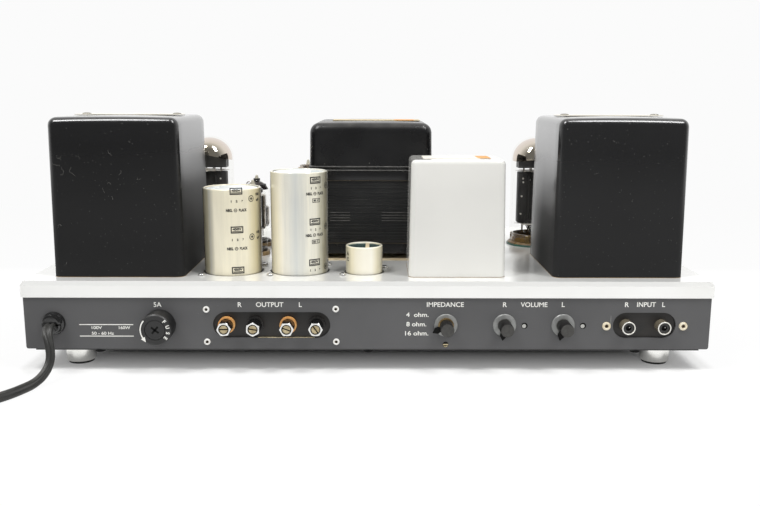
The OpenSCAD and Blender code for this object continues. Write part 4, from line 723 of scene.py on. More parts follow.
def coverLint(rng, x, rear, word):  # fibres where they lie, and flecks all over the rear face
    f, c = coverSet["form"], lintSet

    def scattered(spots):
        return [fluff(rng, fx, zTop + fz, size, rear + f["draft"] * fz / f["h"] - c["sunk"])
                for fx, fz, size in spots]

    hairs = scattered(c["fluff"][word])
    flecks = [(x + rng.uniform(-c["across"], c["across"]) * f["w"], rng.uniform(*c["up"]) * f["h"],
               rng.uniform(*c["fleck"])) for i in range(c["flecks"])]
    return joined(*hairs, *scattered(flecks))


def outputCovers():
    c, f, p = coverSet, coverSet["form"], nameplateSet
    rng = random.Random(lintSet["seed"])
    for side, word in ((-1, "Left"), (1, "Right")):
        x, y, top = side * c["x"] + c["shift"], yRear + c["y"], zTop + f["h"] + f["crown"] * p["seat"]
        newPiece("outputCover" + word, placed(drawnCover(**f), x, y, zTop), "cover" + word,
                 sharp=40, stands=("output_cover_" + word.lower(),))
        newPiece("nameplate" + word, placed(softBlock(*p["plate"]), x, y, top), "nameplateCream")
        seat = top + p["plate"][2] - p["sunk"]
        rivets = [placed(panHead(*p["head"]), x + p["aside"] + s * p["rivets"], y, seat) for s in (-1, 1)]
        newPiece("nameplateRivets" + word, joined(*rivets), "rivetGrey")
        newPiece("coverGasket" + word, placed(gasketLine(f, c["gasket"]), x, y, zTop), "gasketTan")
        newPiece("coverLint" + word, coverLint(rng, x, y - f["d"] / 2, word), "lintPale")


outputCovers()
chokeSet = {"form": {"w": 65.5, "d": 52.0, "h": 79.2, "r": 4.0, "topR": 3.0, "draft": 1.24, "crown": 0.3},
            "y": 40.3, "gasket": 0.1, "label": (46.0, 24.0), "flag": 9.0}
paperSet = {"thick": 0.3, "corner": 1.5, "edge": 0.08, "lift": 0.02}  # paper labels


def paperLabel(w, d):
    return softBlock(w, d, paperSet["thick"], paperSet["corner"], paperSet["edge"])


def chokeCover():
    c, f = chokeSet, chokeSet["form"]
    low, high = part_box("choke_cover")
    x, y, top = (low.x + high.x) / 2 / mm, yRear + c["y"], zTop + f["h"] + paperSet["lift"]
    newPiece("chokeCover", placed(drawnCover(**f), x, y, zTop), "chokeGrey", sharp=40,
             stands=("choke_cover",))
    w, d = c["label"]
    newPiece("chokeLabel", placed(paperLabel(w, d), x, y, top), "labelWhite")
    flag = placed(paperLabel(c["flag"], d), x + (w - c["flag"]) / 2, y, top + paperSet["lift"])
    newPiece("chokeLabelFlag", flag, "labelOrange")
    newPiece("chokeGasket", placed(gasketLine(f, c["gasket"]), x, y, zTop), "gasketTan")


chokeCover()
mainsSet = {"w": 91.0, "d": 105.0, "x": 1.3, "y": 131.5, "legs": 4.1, "leg": 10.0, "low": 8.0, "stack": 47.0,
            "high": 7.0, "flange": 4.0, "sheet": 0.9, "groove": 0.5, "sheets": 40, "inset": 0.6,
            "paper": 0.25, "seam": ((0.0, 0.35), (0.12, 0.0), (0.88, 0.0), (1.0, 0.35)),
            "hump": {"h": 31.5, "r": 7.0, "topR": 7.0, "draft": 0.44, "crown": 0.8}, "slack": 0.4,
            "seat": 0.32, "bare": ((-29.0, -14.0), (9.4, 29.5)), "bareRows": (16.8, 18.9, 20.9, 23.0),
            "bar": (0.4, 0.45, 0.15, 0.1), "label": (68, 30, 4), "flag": (16, 30, 26),
            "mat": (100.0, 114.5, 0.5, 0.5, 0.1), "jut": ((0.10, 2.4), (0.06, 5.1))}


def mainsStack():  # packs of thin sheets, each with a slightly sunk seam
    c, rings = mainsSet, []
    for i in range(c["sheets"]):
        jut = sum(far * math.sin(i * often) for far, often in c["jut"])
        for share, sunk in c["seam"]:
            off = jut - 2 * (c["inset"] + sunk)
            ring = roundedRing(c["w"] + off, c["d"] + off, 0.4, 2, 2)
            rings.append(atHeight(ring, (i + share) * c["stack"] / c["sheets"]))
    return lofted(rings)


def powerTransformer():
    c = mainsSet
    x, y, w, d = c["x"], yRear + c["y"], c["w"], c["d"]
    base = zTop + c["legs"] + c["low"]  # foot of the stack
    high = base + c["stack"]
    top = high + c["high"]

    def wide(more, h, r, edge, z):  # a slab as wide as the frames, and more
        return placed(softBlock(w + more, d + more, h, r, edge), x, y, z)

    newPiece("mainsStack", placed(mainsStack(), x, y, base), "stackBlack", sharp=20,
             stands=("mains_stack",))
    bars = [placed(softBlock(b - a, *c["bar"]), (a + b) / 2, y - d / 2 + 0.5, base + z)
            for a, b in c["bare"] for z in c["bareRows"]]
    newPiece("mainsBareEdges", joined(*bars), "edgeGrey")
    leg = softBlock(c["leg"], c["leg"], c["legs"] + 1, 1.0, 0.3)
    legs = [placed(leg, x + sx * (w - c["leg"]) / 2, y + sy * (d - c["leg"]) / 2, zTop)
            for sx in (-1, 1) for sy in (-1, 1)]
    frames = joined(wide(0, c["low"], 1.4, 0.6, base - c["low"]), wide(0, c["high"], 1.4, 0.6, high), *legs)
    newPiece("mainsFrames", frames, "frameBlack", stands=("mains_clamps",))
    papers = joined(*[wide(0.1, c["paper"], 1.2, 0.05, z - c["paper"] / 2) for z in (base, high)])
    newPiece("mainsPapers", papers, "paperDark")
    sheets = joined(wide(0.5, c["sheet"], 1.4, 0.3, top + 0.1),
                    wide(0.4, c["sheet"], 3.0, 0.4, top + c["flange"] - c["sheet"] - 0.3))
    newPiece("mainsSheets", sheets, "edgeGrey")
    lip = c["sheet"] + c["groove"]
    hump = drawnCover(w - c["slack"], d - c["slack"], **c["hump"])
    cover = joined(wide(0, c["flange"] - lip, 3.0, 1.2, top + lip), wide(-2, c["flange"], 3.0, 0.3, top),
                   placed(hump, x, y, top + c["flange"] - 0.1))
    newPiece("mainsCover", cover, "frameBlack", sharp=40, stands=("mains_cover",))
    z = top + c["flange"] + c["hump"]["h"] + c["seat"]
    for name, key, tint, lift in (("mainsLabel", "label", "labelTan", 0),
                                  ("mainsLabelFlag", "flag", "labelOrange", 1)):
        long, deep, aside = c[key]
        label = placed(paperLabel(long, deep), x + aside, y, z + lift * paperSet["lift"])
        newPiece(name, label, tint)
    newPiece("mainsMat", placed(softBlock(*c["mat"]), x, y, zTop), "matCream")


powerTransformer()
print("covers and power transformer drawn")


# flat marks
def lettering(words, high, wide=None, heavy=0.016):  # flat letters as a shape, centred on the origin
    curve = bpy.data.curves.new("letters", "FONT")
    curve.body, curve.align_x, curve.offset = words, "CENTER", heavy
    holder = bpy.data.objects.new("letters", curve)
    scene.collection.objects.link(holder)
    mesh = bpy.data.meshes.new_from_object(holder.evaluated_get(bpy.context.evaluated_depsgraph_get()))
    points = [v.co.copy() for v in mesh.vertices]
    faces = [tuple(p.vertices) for p in mesh.polygons]
    bpy.data.objects.remove(holder)
    bpy.data.curves.remove(curve)
    bpy.data.meshes.remove(mesh)
    xs, ys = [p.x for p in points], [p.y for p in points]
    sy = high / (max(ys) - min(ys))
    sx = wide / (max(xs) - min(xs)) if wide else sy
    mx, my = (max(xs) + min(xs)) / 2, (max(ys) + min(ys)) / 2
    return [((p.x - mx) * sx, (p.y - my) * sy, 0.0) for p in points], faces


def ribbon(low, high):  # faces between two lines of one count
    n = len(low)
    return atHeight(low + high, 0.0), [(i, i + 1, n + 1 + i, n + i) for i in range(n - 1)]


def strip(w, h, n=1):  # flat bar, centred
    return ribbon(*[[(w * (i / n - 0.5), s * h / 2) for i in range(n + 1)] for s in (-1, 1)])


def flatRing(r, line, a=0.0, b=360.0, n=32):  # flat arc of a given line width
    return ribbon(arc(0, 0, r - line / 2, a, b, n), arc(0, 0, r + line / 2, a, b, n))


def boxed(w, h, line, n=8):  # outline of a box
    return joined(*[placed(strip(w, line, n), 0, s * h / 2) for s in (-1, 1)],
                  *[placed(strip(line, h), s * (w - line) / 2) for s in (-1, 1)])


def rolled(shape, x, y, r, aim, z):  # a flat shape wrapped round a can
    base = math.radians(aim)
    return [(x + r * math.cos(base + u / r), y + r * math.sin(base + u / r), z + v)
            for u, v, w in shape[0]], shape[1]


# capacitor cans
canSet = {"places": {"Wide": (-94.6, 37.7, 40.0, 58.8), "Tall": (-48.0, 37.7, 39.6, 70.2),
                     "Small": (-3.0, 34.2, 25.8, 19.0)},  # x, back from the rear edge, diameter, height
          "rim": 1.8, "dish": 0.7, "line": 0.5, "floor": 1.5, "flange": (2.6, -3.7, -2.55),
          "tab": (2.3, 2.6, 6.0)}
canPrintSet = {"prints": {"Wide": (-72.4, 0.0, (57.8, 31.6, 3.8), (-6.8, -12.9)),  # aim, lean, heights, lines
                          "Tall": (-50.8, -1.9, (65.0, 36.8, 8.8), (-5.3, -9.1, -13.7))},
               "heavy": 0.05, "out": 0.07, "aside": 31.5, "asideUp": 1.2, "asideFrom": 6.0, "ring": 2.0,
               "numbers": (("1", -3.4), ("2", 0.2), ("3", 4.0)), "letters": (("A", 14.0), ("C", 10.0)),
               "lettersAim": -149.0, "lettersHigh": 2.8}


def inked(words, high, wide, x, y):
    return placed(lettering(words, high, wide, canPrintSet["heavy"]), x, y)


def canPrint(height, rows):  # one group of marks, its box centred on the origin
    numbers, polarity = rows[:2]
    marks = [boxed(8.6, 4.0, 0.72), inked("450V", 1.7, 6.2, 0, 0.5), placed(strip(6.6, 0.55, 6), 0, -1.1)]
    marks += [inked(word, 1.6, None, x, numbers) for word, x in canPrintSet["numbers"]]
    marks += [inked("NEG.", 2.0, 4.4, -4.9, polarity), inked("BLACK", 2.0, 5.6, 4.4, polarity),
              placed(flatRing(1.0, 0.36, n=16), -0.7, polarity), placed(strip(1.2, 0.36), -0.7, polarity)]
    if len(rows) > 2:
        marks += [placed(boxed(6.2, 2.4, 0.4), 0.4, rows[2]), inked("85 C", 1.3, 4.4, 0.4, rows[2])]
    return [m for m in marks if height + min(min(p[1] for p in m[0]), 0.0) > 0.3]  # what is above the plate


def canAside():  # marks beside a group: a ringed sign and two short lines
    return [flatRing(canPrintSet["ring"], 0.5), strip(2.2, 0.7), strip(0.7, 2.2),
            inked("100", 1.9, 3.8, 6.4, 2.6), inked("uF", 1.9, 3.2, 6.4, -1.2)]


def canMarks(word, x, y, r):
    c, marks = canPrintSet, []
    if word not in c["prints"]:
        return [rolled(lettering(letter, c["lettersHigh"], None, c["heavy"]), x, y, r + c["out"],
                       c["lettersAim"], zTop + z) for letter, z in c["letters"]]
    first, lean, heights, rows = c["prints"][word]
    for i, z in enumerate(heights):
        aim = first + lean * i
        marks += [rolled(m, x, y, r + c["out"], aim, zTop + z) for m in canPrint(z, rows)]
        if z > c["asideFrom"]:
            marks += [rolled(m, x, y, r + c["out"], aim + c["aside"], zTop + z + rows[0] + c["asideUp"])
                      for m in canAside()]
    return marks


def cans():
    c = canSet
    marks, baseShadows = [], []
    out, under, over = c["flange"]
    for word, (x, back, d, h) in c["places"].items():
        node, y, r, lip = "can_" + word.lower(), yRear + back, d / 2, c["rim"] / 2
        low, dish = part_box(node)[0].z / mm - zTop, h - c["dish"]
        edge = r - c["rim"] - 0.1  # of the painted groove shade round the disc
        outline = [(0, low), (r - 0.6, low), (r, low + 0.6), (r, under), (r + out, under), (r + out, over),
                   (r, over + 0.05), (r, 0.2)] + [(r, h * k) for k in (0.25, 0.5, 0.75)] * (h > 30)
        floor = dish - c["floor"]
        outline += arc(r - lip, h - lip, lip, 0, 180, 8) + [(r - c["rim"], floor), (0, floor)]
        newPiece("can" + word, placed(turned(outline, 96), x, y, zTop), "can" + word + "Metal",
                 sharp=40, stands=(node,))
        # painted shadow: a dark flat ring round the foot of each can
        baseShadows.append(placed(turned([(r - 0.3, 0.03), (r + 0.7, 0.03)], 64), x, y, zTop))
        disc = turned([(0, dish), (edge - c["line"], dish), (edge - c["line"], dish - 1.4)], 96)
        piece = newPiece("canDisc" + word, placed(disc, x, y, zTop),
                         "canDiscDark" if word == "Small" else "canDisc")
        # painted shade: a greenish dark ring in the groove between the rim and the disc
        grooveShade = turned([(edge - c["line"], dish - 0.1), (edge, dish - 0.1)], 96)
        newPiece("canGrooveShade" + word, placed(grooveShade, x, y, zTop), "grooveShadeGreen")
        marks += canMarks(word, x, y, r)
        if word == "Small":
            aside, w, short = c["tab"]
            tab = softBlock(w, d - short, 0.2, 0.4, 0.05)
            newPiece("canTab", placed(tab, x + aside, y, zTop + dish), "matCream")
    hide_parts("can_discs")
    newPiece("canMarks", joined(*marks), "inkBlack")
    newPiece("canBaseShadows", joined(*baseShadows), "inkBlack")


cans()
print("cans turned")

# tubes
tubeSet = {"spots": (-184.9, -130.9, 135.7, 189.7), "y": 150.0, "lift": 7.2, "r": 19.5, "h": 81.4,
           "base": 17.0, "foot": 6.0, "dome": 17.0, "wall": 0.9, "anode": (28.0, 13.0, 41.5, 11.0),
           "box": (28.6, 12.0, 56.0, 69.0), "mica": 15.8, "teeth": 48, "dot": 0.75, "dots": (
               (9.5, 47.0), (9.5, 31.0), (9.5, 16.5), (-5.0, 46.5), (-10.5, 47.5), (-10.2, 44.5),
               (-11.2, 33.0), (-11.6, 18.5)), "leads": (0.4, 1.7, 2.9, 4.1, 5.4), "mirror": (-6, 22)}
socketSet = {"plate": 21.0, "turn": 35, "clip": (3.4, 1.2, 7.0, 0.4, 0.2), "clipR": 18.3,
             "clips": (0.5, 2.1, 3.7, 5.3), "screw": (4.2, 1.4, 20), "screwR": 18.8}
smallTubeSet = {"spots": ((55.0, 208.0, 61.0, "clear"), (89.0, 100.0, 53.5, "ringed"),
                          (91.5, 140.0, 53.5, "dark")),
                "lift": 5.0, "r": 10.5, "socket": 12.0, "loop": 3.2,
                "anodes": {"clear": (14.0, 46.0, 4.4), "ringed": (16.5, 40.0, 2.6),
                           "dark": (12.7, 26.0, 0.7)}}


def bulbOutline(r, base, h, foot, dome):
    low = [(base + (r - base) * math.sin(math.radians(a)), foot * (1 - math.cos(math.radians(a))))
           for a in range(0, 91, 9)]
    high = [(polar(r, a)[0], h - dome + polar(dome, a)[1]) for a in range(6, 85, 6)]
    return [(0, 0)] + low + high + [(0, h)]


def getterDome(c, aim):  # mirror inside the dome, its edge lower on one side
    low, high = c["mirror"]
    rings, inset, n, rows = [], c["wall"] + 0.25, 72, 12
    for j in range(rows + 1):
        ring = []
        for k in range(n):
            t = 360 * k / n
            first = low + (high - low) * (1 - math.cos(math.radians(t - aim))) / 2
            a = math.radians(first + (89.5 - first) * j / rows)
            r = (c["r"] - inset) * math.cos(max(a, 0))
            ring.append(polar(r, t) + (c["h"] - c["dome"] - inset + (c["dome"] - 0.2) * math.sin(a),))
        rings.append(ring)
    return lofted(rings, low=False)


def circle(r, z, n=16):  # closed path of a level wire loop
    return [polar(r, 360 * k / n) + (z,) for k in range(n + 1)]


def powerTube(x, y, z):
    c, n = tubeSet, tubeSet["teeth"]
    w, d, h, low = c["anode"]
    ribs = [placed(softBlock(1.0, d + 4, h - 6, 0.45, 0.2), s * w * 0.2, 0, low + 3) for s in (-1, 1)]
    bw, bd, b0, b1 = c["box"]
    side = [(-bw / 2, b0), (bw / 2, b0), (bw / 2, b1 - 3.2), (bw / 2 - 2.6, b1), (2.6 - bw / 2, b1),
            (-bw / 2, b1 - 3.2)]
    ragged = [polar(c["mica"] if k % 6 == 0 else 10.6 + 0.8 * (k % 2), 360 * k / n) for k in range(n)]
    mica = [lofted([atHeight(ragged, base), atHeight(ragged, base + 0.35)])
            for base in (low - 1.2, low + h + 0.9)]
    mica.append(placed(softBlock(8.0, 3.0, 1.6, 0.5, 0.2), 2.0, -d / 2 - 1.0, low + h + 1.2))
    dot = turned([(0, 0), (c["dot"], 0), (c["dot"], 0.1), (0, 0.1)], 12)
    dots = [placed(alongY(placed(dot, z=s * (d / 2 + 0.05))), dx, 0, dz) for s in (-1, 1)
            for dx, dz in c["dots"]]
    rods = [wire([(s * 9.0, 0, 4), (s * 9.0, 0, b0)], 0.7) for s in (-1, 1)]
    rods += [wire([(s * 3.4, t * 3.0, 3), (s * 3.4, t * 3.0, b0)], 0.5) for s in (-1, 1) for t in (-1, 1)]
    rods.append(wire([(6, 0, b1 + 2.4), (6.4, 0, b1)], 0.5))
    leads = [wire([(6.0 * math.cos(a), 6.0 * math.sin(a), 1.5), (4.2 * math.cos(a), 4.2 * math.sin(a), 5),
                   (s * 7, math.sin(a) * 5, low)], 0.42) for s in (-1, 1) for a in c["leads"]]
    parts = {"bulbs": turned(bulbOutline(c["r"], c["base"], c["h"], c["foot"], c["dome"]), 72),
             "anodes": joined(placed(softBlock(w, d, h, 4.0, 0.6, 8, 2), z=low), *ribs),
             "fins": lofted([[(a, s * bd / 2, b) for a, b in side] for s in (-1, 1)]),
             "micas": joined(*mica), "dots": joined(*dots), "rods": joined(*rods), "leads": joined(*leads),
             "stems": turned([(0, 1.2), (8.0, 1.2), (7.2, 4.5), (4.6, 7.5), (0, 8.0)], 32),
             "mirrors": getterDome(c, 20 if x < 0 else 200)}
    return {k: placed(v, x, y, z) for k, v in parts.items()}


def powerSocket(x, y):
    c, r = socketSet, socketSet["plate"]
    plate = turned([(15, 0), (r, 0), (r + 0.3, 0.3), (r + 0.3, 0.9), (r, 1.2), (15, 1.2)], 64)
    flange = turned([(14, 1.2), (r - 1.2, 1.2), (r - 0.4, 1.6), (r - 0.9, 2.2), (18.2, 2.8), (14, 2.8)], 64)
    collar = turned([(13, 2.4), (17.8, 2.4), (18.2, 3.4), (18.0, 5.0), (17.2, 6.6), (17.6, 8.0), (17.0, 9.2),
                     (16.2, 9.2)], 64)
    below = turned([(0, -10.5), (14.2, -10.5), (14.5, -10.2), (14.5, 1.0), (0, 1.0)], 48)
    clips = [placed(softBlock(*c["clip"]), c["clipR"] * math.cos(a), c["clipR"] * math.sin(a), 1.6,
                    math.degrees(a) + 90) for a in c["clips"]]
    screws = [placed(panHead(*c["screw"]), s * c["screwR"], 0, 1.2) for s in (-1, 1)]
    parts = {"socketPlates": plate, "socketFlanges": flange, "socketCollars": joined(collar, below),
             "socketClips": joined(*clips, *screws)}
    return {k: placed(v, x, y, zTop, c["turn"]) for k, v in parts.items()}


def smallTube(x, y, z, h, kind):
    c, r = smallTubeSet, smallTubeSet["r"]
    clear = kind == "clear"
    low, high, wide = c["anodes"][kind]
    outline = [(0, 0), (8.6, 0), (9.8, 0.9), (r, 2.6), (r, h - 15)]
    outline += [(polar(r, a)[0], h - 15 + polar(10, a)[1]) for a in range(9, 73, 9)]
    outline += [(2.6, h - 5.0), (1.9, h - 3.4), (1.2, h - 1.0), (0, h)]
    plate = softBlock(2 * wide, 8.0, high - low, min(wide, 1.6) * 0.8, 0.3)
    plates = [placed(plate, s * (8.3 - wide), 0, low) for s in (-1, 1)]
    mica = [placed(turned([(0, 0), (8.9, 0), (8.9, 0.5), (0, 0.5)], 24), z=k)
            for k in (low - 1.4, 52.6 if clear else high + 0.8)]
    rods = [wire([(sx * 3.4, sy * 5.2, 2), (sx * 3.4, sy * 5.2, high + 2)], 0.4) for sx in (-1, 1)
            for sy in (-1, 1)]
    rods.append(wire([(c["loop"], 0, h - 9.5), (c["loop"], 0, high + 1)], 0.4))
    rods += [placed(softBlock(0.9, 8.4, high - low + 0.6, 0.3, 0.1), s * 8.7, 0, low - 0.3) for s in (-1, 1)]
    leads = [wire(circle(c["loop"], h - 9.5), 0.7)]
    crown = turned([(6.2, 0), (7.4, 0), (7.4, 2.2), (6.2, 2.2), (6.2, 0)], 32)
    (rods if clear else leads).append(placed(crown, z=h - 8.0 if clear else 43.0))
    parts = {"bulbs": turned(outline, 48), "anodes": joined(*plates),
             "micaDiscs" if clear else "micas": joined(*mica)}
    if kind == "dark":
        parts["shoulders"] = turned([(max(u - 0.9, 0), min(v - 0.5, h - 5.2)) for u, v in outline[6:14]], 48)
        rods.append(wire([(u - 5.4, -5.5, h - 8.0 + v) for u, v, w in circle(2.1, 0)], 0.4))
        leads.append(placed(turned([(1.9, 0), (2.75, 0), (2.6, 1.9), (1.8, 1.9)], 24), z=h - 5.6))
    parts["rods"], parts["leads"] = joined(*rods), joined(*leads)
    parts["nibs"] = turned([(0, h - 5.0), (2.0, h - 5.0), (1.5, h - 3.2), (0.9, h - 1.3), (0, h - 0.8)], 20)
    rim = c["socket"]
    parts["socketRims"] = turned([(9.5, -5.0), (rim, -5.0), (rim + 0.2, -4.7), (rim, -2.2), (rim - 0.6, -2.0),
                                  (9.5, -2.0)], 40)
    parts["socketRings"] = turned([(0, -15.0), (10.3, -15.0), (10.5, -14.7), (10.5, -0.6), (9.9, 0.0),
                                   (0, 0.0)], 40)
    return {k: placed(v, x, y, z) for k, v in parts.items()}


tubeLooks = {"glass_clear": {"bulbs": "bulbGlass", "stems": "bulbGlass", "mirrors": "getterSilver",
                             "shoulders": "getterDark", "nibs": "nibPale"},
             "electrode_black": {"anodes": "anodeBlack", "fins": "finGrey", "micas": "micaWhite",
                                 "micaDiscs": "micaTan", "dots": "micaWhite", "rods": "gridWire",
                                 "leads": "anodeBlack"},
             "socket_brown": {"socketPlates": "socketTeal", "socketFlanges": "socketTan",
                              "socketCollars": "baseAmber", "socketClips": "brassDull",
                              "socketRims": "socketTan", "socketRings": "socketDark"}}
tubeStands = {"bulbsLeft": "power_tubes_left", "bulbsRight": "power_tubes_right", "bulbsSmall": "small_tubes",
              "anodesLeft": "tube_anodes", "anodesRight": "tube_anodes", "anodesSmall": "tube_anodes",
              "socketPlatesLeft": "tube_sockets"}


def tubes():
    rows, y = {"Left": [], "Right": [], "Small": []}, yRear + tubeSet["y"]
    for x in tubeSet["spots"]:
        rows["Left" if x < 0 else "Right"] += [powerTube(x, y, zTop + tubeSet["lift"]), powerSocket(x, y)]
    for s in (-1, 1):
        for x, back, h, kind in smallTubeSet["spots"]:
            rows["Small"].append(smallTube(s * x, yRear + back, zTop + smallTubeSet["lift"], h, kind))
    for row, built in rows.items():
        for slot, looks in tubeLooks.items():
            for key, tint in looks.items():
                shapes, name = [b[key] for b in built if key in b], key + row
                if shapes:
                    newPiece(name, joined(*shapes), tint,
                             stands=(tubeStands[name],) if name in tubeStands else ())


tubes()
print("tubes blown")

# marks on the rear wall and on the fuse holder
markSet = {"out": 0.06, "line": 0.6, "lines": ((-192.7, -156.7, 32.0), (-192.7, -156.7, 24.05)), "words": (
    ("5A", -139.9, 45.8, 3.3, None), ("R", -85.3, 45.8, 3.3, None), ("OUTPUT", -65.4, 45.9, 3.3, 18.3),
    ("L", -45.0, 45.9, 3.3, None), ("IMPEDANCE", 51.5, 46.1, 3.3, 24.7), ("R", 91.2, 46.1, 3.3, None),
    ("VOLUME", 110.6, 46.1, 3.3, 17.9), ("L", 130.1, 46.2, 3.3, None), ("R", 172.6, 46.2, 3.3, None),
    ("INPUT", 185.6, 46.3, 3.3, 12.6), ("L", 197.1, 46.3, 3.3, None), ("4  ohm.", 32.9, 39.1, 3.1, 15.0),
    ("8 ohm.", 32.3, 32.6, 3.1, 13.4), ("16 ohm.", 32.6, 26.3, 3.1, 15.6), ("100V", -181.1, 29.9, 2.1, 6.9),
    ("160W", -162.6, 29.9, 2.1, 7.6), ("50 - 60 Hz", -177.3, 26.0, 2.1, 14.8))}  # words, x, z, high, wide
fuseSet = {"x": -138.9, "arc": (9.5, 0.8, 138.0, 213.0), "arrow": 3.0, "long": 1.15, "wordR": 8.6,
           "high": 2.5, "heavy": 0.03, "words": (("F", 42.0), ("U", 14.5), ("S", -13.0), ("E", -38.0)),
           "slots": (6.2, 1.3), "slotTurns": (49, -38), "proud": 0.04}


def outFromWall(node):  # how far a node stands out of the rear wall
    return (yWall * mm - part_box(node)[0].y) / mm


def fuseMarks():  # a turning arrow and a word round the cap
    c = fuseSet
    r, line, a, b = c["arc"]
    half = c["arrow"] / 2
    tip = [(r - half, 0.0), (r + half, 0.0), (r, c["arrow"] * c["long"])]
    marks = [flatRing(r, line, a, b, 24), placed((atHeight(tip, 0.0), [(0, 1, 2)]), turn=b)]
    for word, aim in c["words"]:
        letter = lettering(word, c["high"], None, c["heavy"])
        marks.append(placed(letter, *polar(c["wordR"], aim), turn=aim - 90))
    return [onRear(mark, c["x"], zCtrl, outFromWall("fuse_holder") + markSet["out"]) for mark in marks]


def panelMarks():
    c = markSet
    shapes = [onRear(lettering(words, high, wide), x, z, c["out"]) for words, x, z, high, wide in c["words"]]
    shapes += [onRear(strip(b - a, c["line"]), (a + b) / 2, z, c["out"]) for a, b, z in c["lines"]]
    newPiece("panelMarks", joined(*shapes, *fuseMarks()), "inkWhite")


panelMarks()
print("panel marked")

# fittings on the rear wall
screwSet = {"output": -64.4, "steel": ((-43.3, 10.6), (-43.3, -11.7), (42.9, 11.0), (43.1, -11.6)),
            "steelHead": (4.5, 0.9), "inputs": (159.6, 211.0), "inputLow": -0.5, "brassHead": (5.8, 1.2),
            "trim": (52.1, 18.5, 3.7), "pins": (104.4, 143.6), "pinLow": -0.55, "pin": 1.35, "pinHole": 2.1,
            "slotEdge": (-55.0, 38.0, 8.85), "canAims": {"Wide": 224, "Tall": 224, "Small": 222},
            "canOff": 6.6, "canHead": (4.8, 1.8, 24), "canCross": (2.4, 0.6), "canUp": 1.82,
            "steelCross": (1.9, 0.5), "steelMiddle": 1.05, "steelOut": (0.52, 0.47), "brassCross": (2.0, 0.4),
            "brassMiddle": 1.45, "brassOut": (0.68, 0.62), "flush": 0.04}
terminalSet = {"spots": ((-94.45, 0), (-75.45, -10), (-53.35, -20), (-34.35, -55)), "stud": 2.9,
               "washer": 4.5, "slot": (5.2, 0.65), "slotOut": 11.65, "ringOut": 12.05, "washerOut": 1.3}


def ringHead(d, high):  # low screw head, hollow in the middle
    outline = ((0, 0.45), (0.42, 0.5), (0.52, 0.9), (0.7, 1), (0.93, 0.7), (1, 0.2), (1, 0))
    return turned([(d / 2 * u, high * v) for u, v in outline], 28)


def crossMark(size, line, turn):  # cross recess, flat
    return joined(placed(strip(size, line), turn=turn), placed(strip(size, line), turn=turn + 90))


def disc(r, n=28):
    return turned([(0, 0), (r, 0)], n)


def screwHeads():
    c, t = screwSet, terminalSet
    spots = [(c["output"] + dx, zCtrl + dz) for dx, dz in c["steel"]]
    steel = [onRear(ringHead(*c["steelHead"]), x, z) for x, z in spots]
    out, sunk = c["steelOut"]
    # painted shade: flat near-black crosses, discs and rings stand for the shade in screw recesses, holes and
    # slots; the discs at the terminals are black washers
    dark = [onRear(crossMark(*c["steelCross"], 20 + 31 * k), x, z, out) for k, (x, z) in enumerate(spots)]
    brown = [onRear(disc(c["steelMiddle"]), x, z, sunk) for x, z in spots]
    plated = []
    for word, aim in c["canAims"].items():  # two screws beside each can
        x, back, d = canSet["places"][word][:3]
        for turn in (aim, aim - 180):
            u, v = polar(d / 2 + c["canOff"], turn)
            plated.append(placed(panHead(*c["canHead"]), x + u, yRear + back + v, zTop))
            dark.append(placed(crossMark(*c["canCross"], turn), x + u, yRear + back + v, zTop + c["canUp"]))
    zInput, zPin = zCtrl + c["inputLow"], zCtrl + c["pinLow"]
    out, sunk = c["brassOut"]
    brown.append(rowOnRear(disc(c["brassMiddle"]), c["inputs"], zInput, sunk))
    dark += [onRear(crossMark(*c["brassCross"], 30 + x), x, zInput, out) for x in c["inputs"]]
    x, z, d = c["trim"]  # slotted screw sunk in the wall
    core = turned([(0, -4.0), (d / 2 - 0.3, -4.0), (d / 2 - 0.3, -0.1), (0, -0.1)], 24)
    brass = joined(rowOnRear(ringHead(*c["brassHead"]), c["inputs"], zInput), onRear(core, x, z))
    dark.append(onRear(disc(d / 2 + 0.15), x, z, c["flush"]))
    dark += [onRear(disc(c["pinHole"]), px + 0.3, zPin + 0.2, c["flush"]) for px in c["pins"]]
    for tx, turn in t["spots"]:
        dark += [onRear(flatRing(t["stud"] + 0.15, 0.6), tx, zCtrl, t["ringOut"]),
                 onRear(placed(strip(*t["slot"]), turn=turn), tx, zCtrl, t["slotOut"]),
                 onRear(disc(t["washer"]), tx, zCtrl, t["washerOut"])]
    edge, wide, drop = c["slotEdge"]
    # painted highlights: a light bar and a light lower arc on the sunk trim screw, and a light strip along
    # the lower edge of the slot in the wall
    highlights = [onRear(placed(strip(d * 0.94, 0.75), 0, -0.05), x, z, 0.1),
              onRear(flatRing(d / 2 - 0.3, 0.35, 215, 325), x, z, 0.08),
              placed(softBlock(wide, 1.3, 0.1, 0.2, 0.03), edge, yWall + 0.75, zCtrl - drop)]
    newPiece("steelHeads", joined(*steel), "screwSteel", stands=("steel_screws",))
    newPiece("canHeads", joined(*plated), "steelBright")
    newPiece("brassHeads", brass, "screwNickel", stands=("brass_screws",))
    newPiece("brassRecesses", joined(*brown), "recessBrown")
    newPiece("recessShadesAndWashers", joined(*dark), "blackAndRecessShade")
    newPiece("paintedHighlights", joined(*highlights), "paintedHighlightCream")
    newPiece("pinFaces", rowOnRear(disc(c["pin"]), c["pins"], zPin, 0.12), "pinGrey")


controlSet = {"dials": (52.1, 91.3, 130.5), "dial": 7.75, "dialT": 1.1, "bore": 4.4, "knob": 4.45,
              "knobOut": 14.6, "tip": 10.1, "flag": (1.6, 3.2),
              "aims": {"selector": 207, "volume_right": 261, "volume_left": 256},
              "nodes": ("selector_knob", "volume_knob_right", "volume_knob_left")}


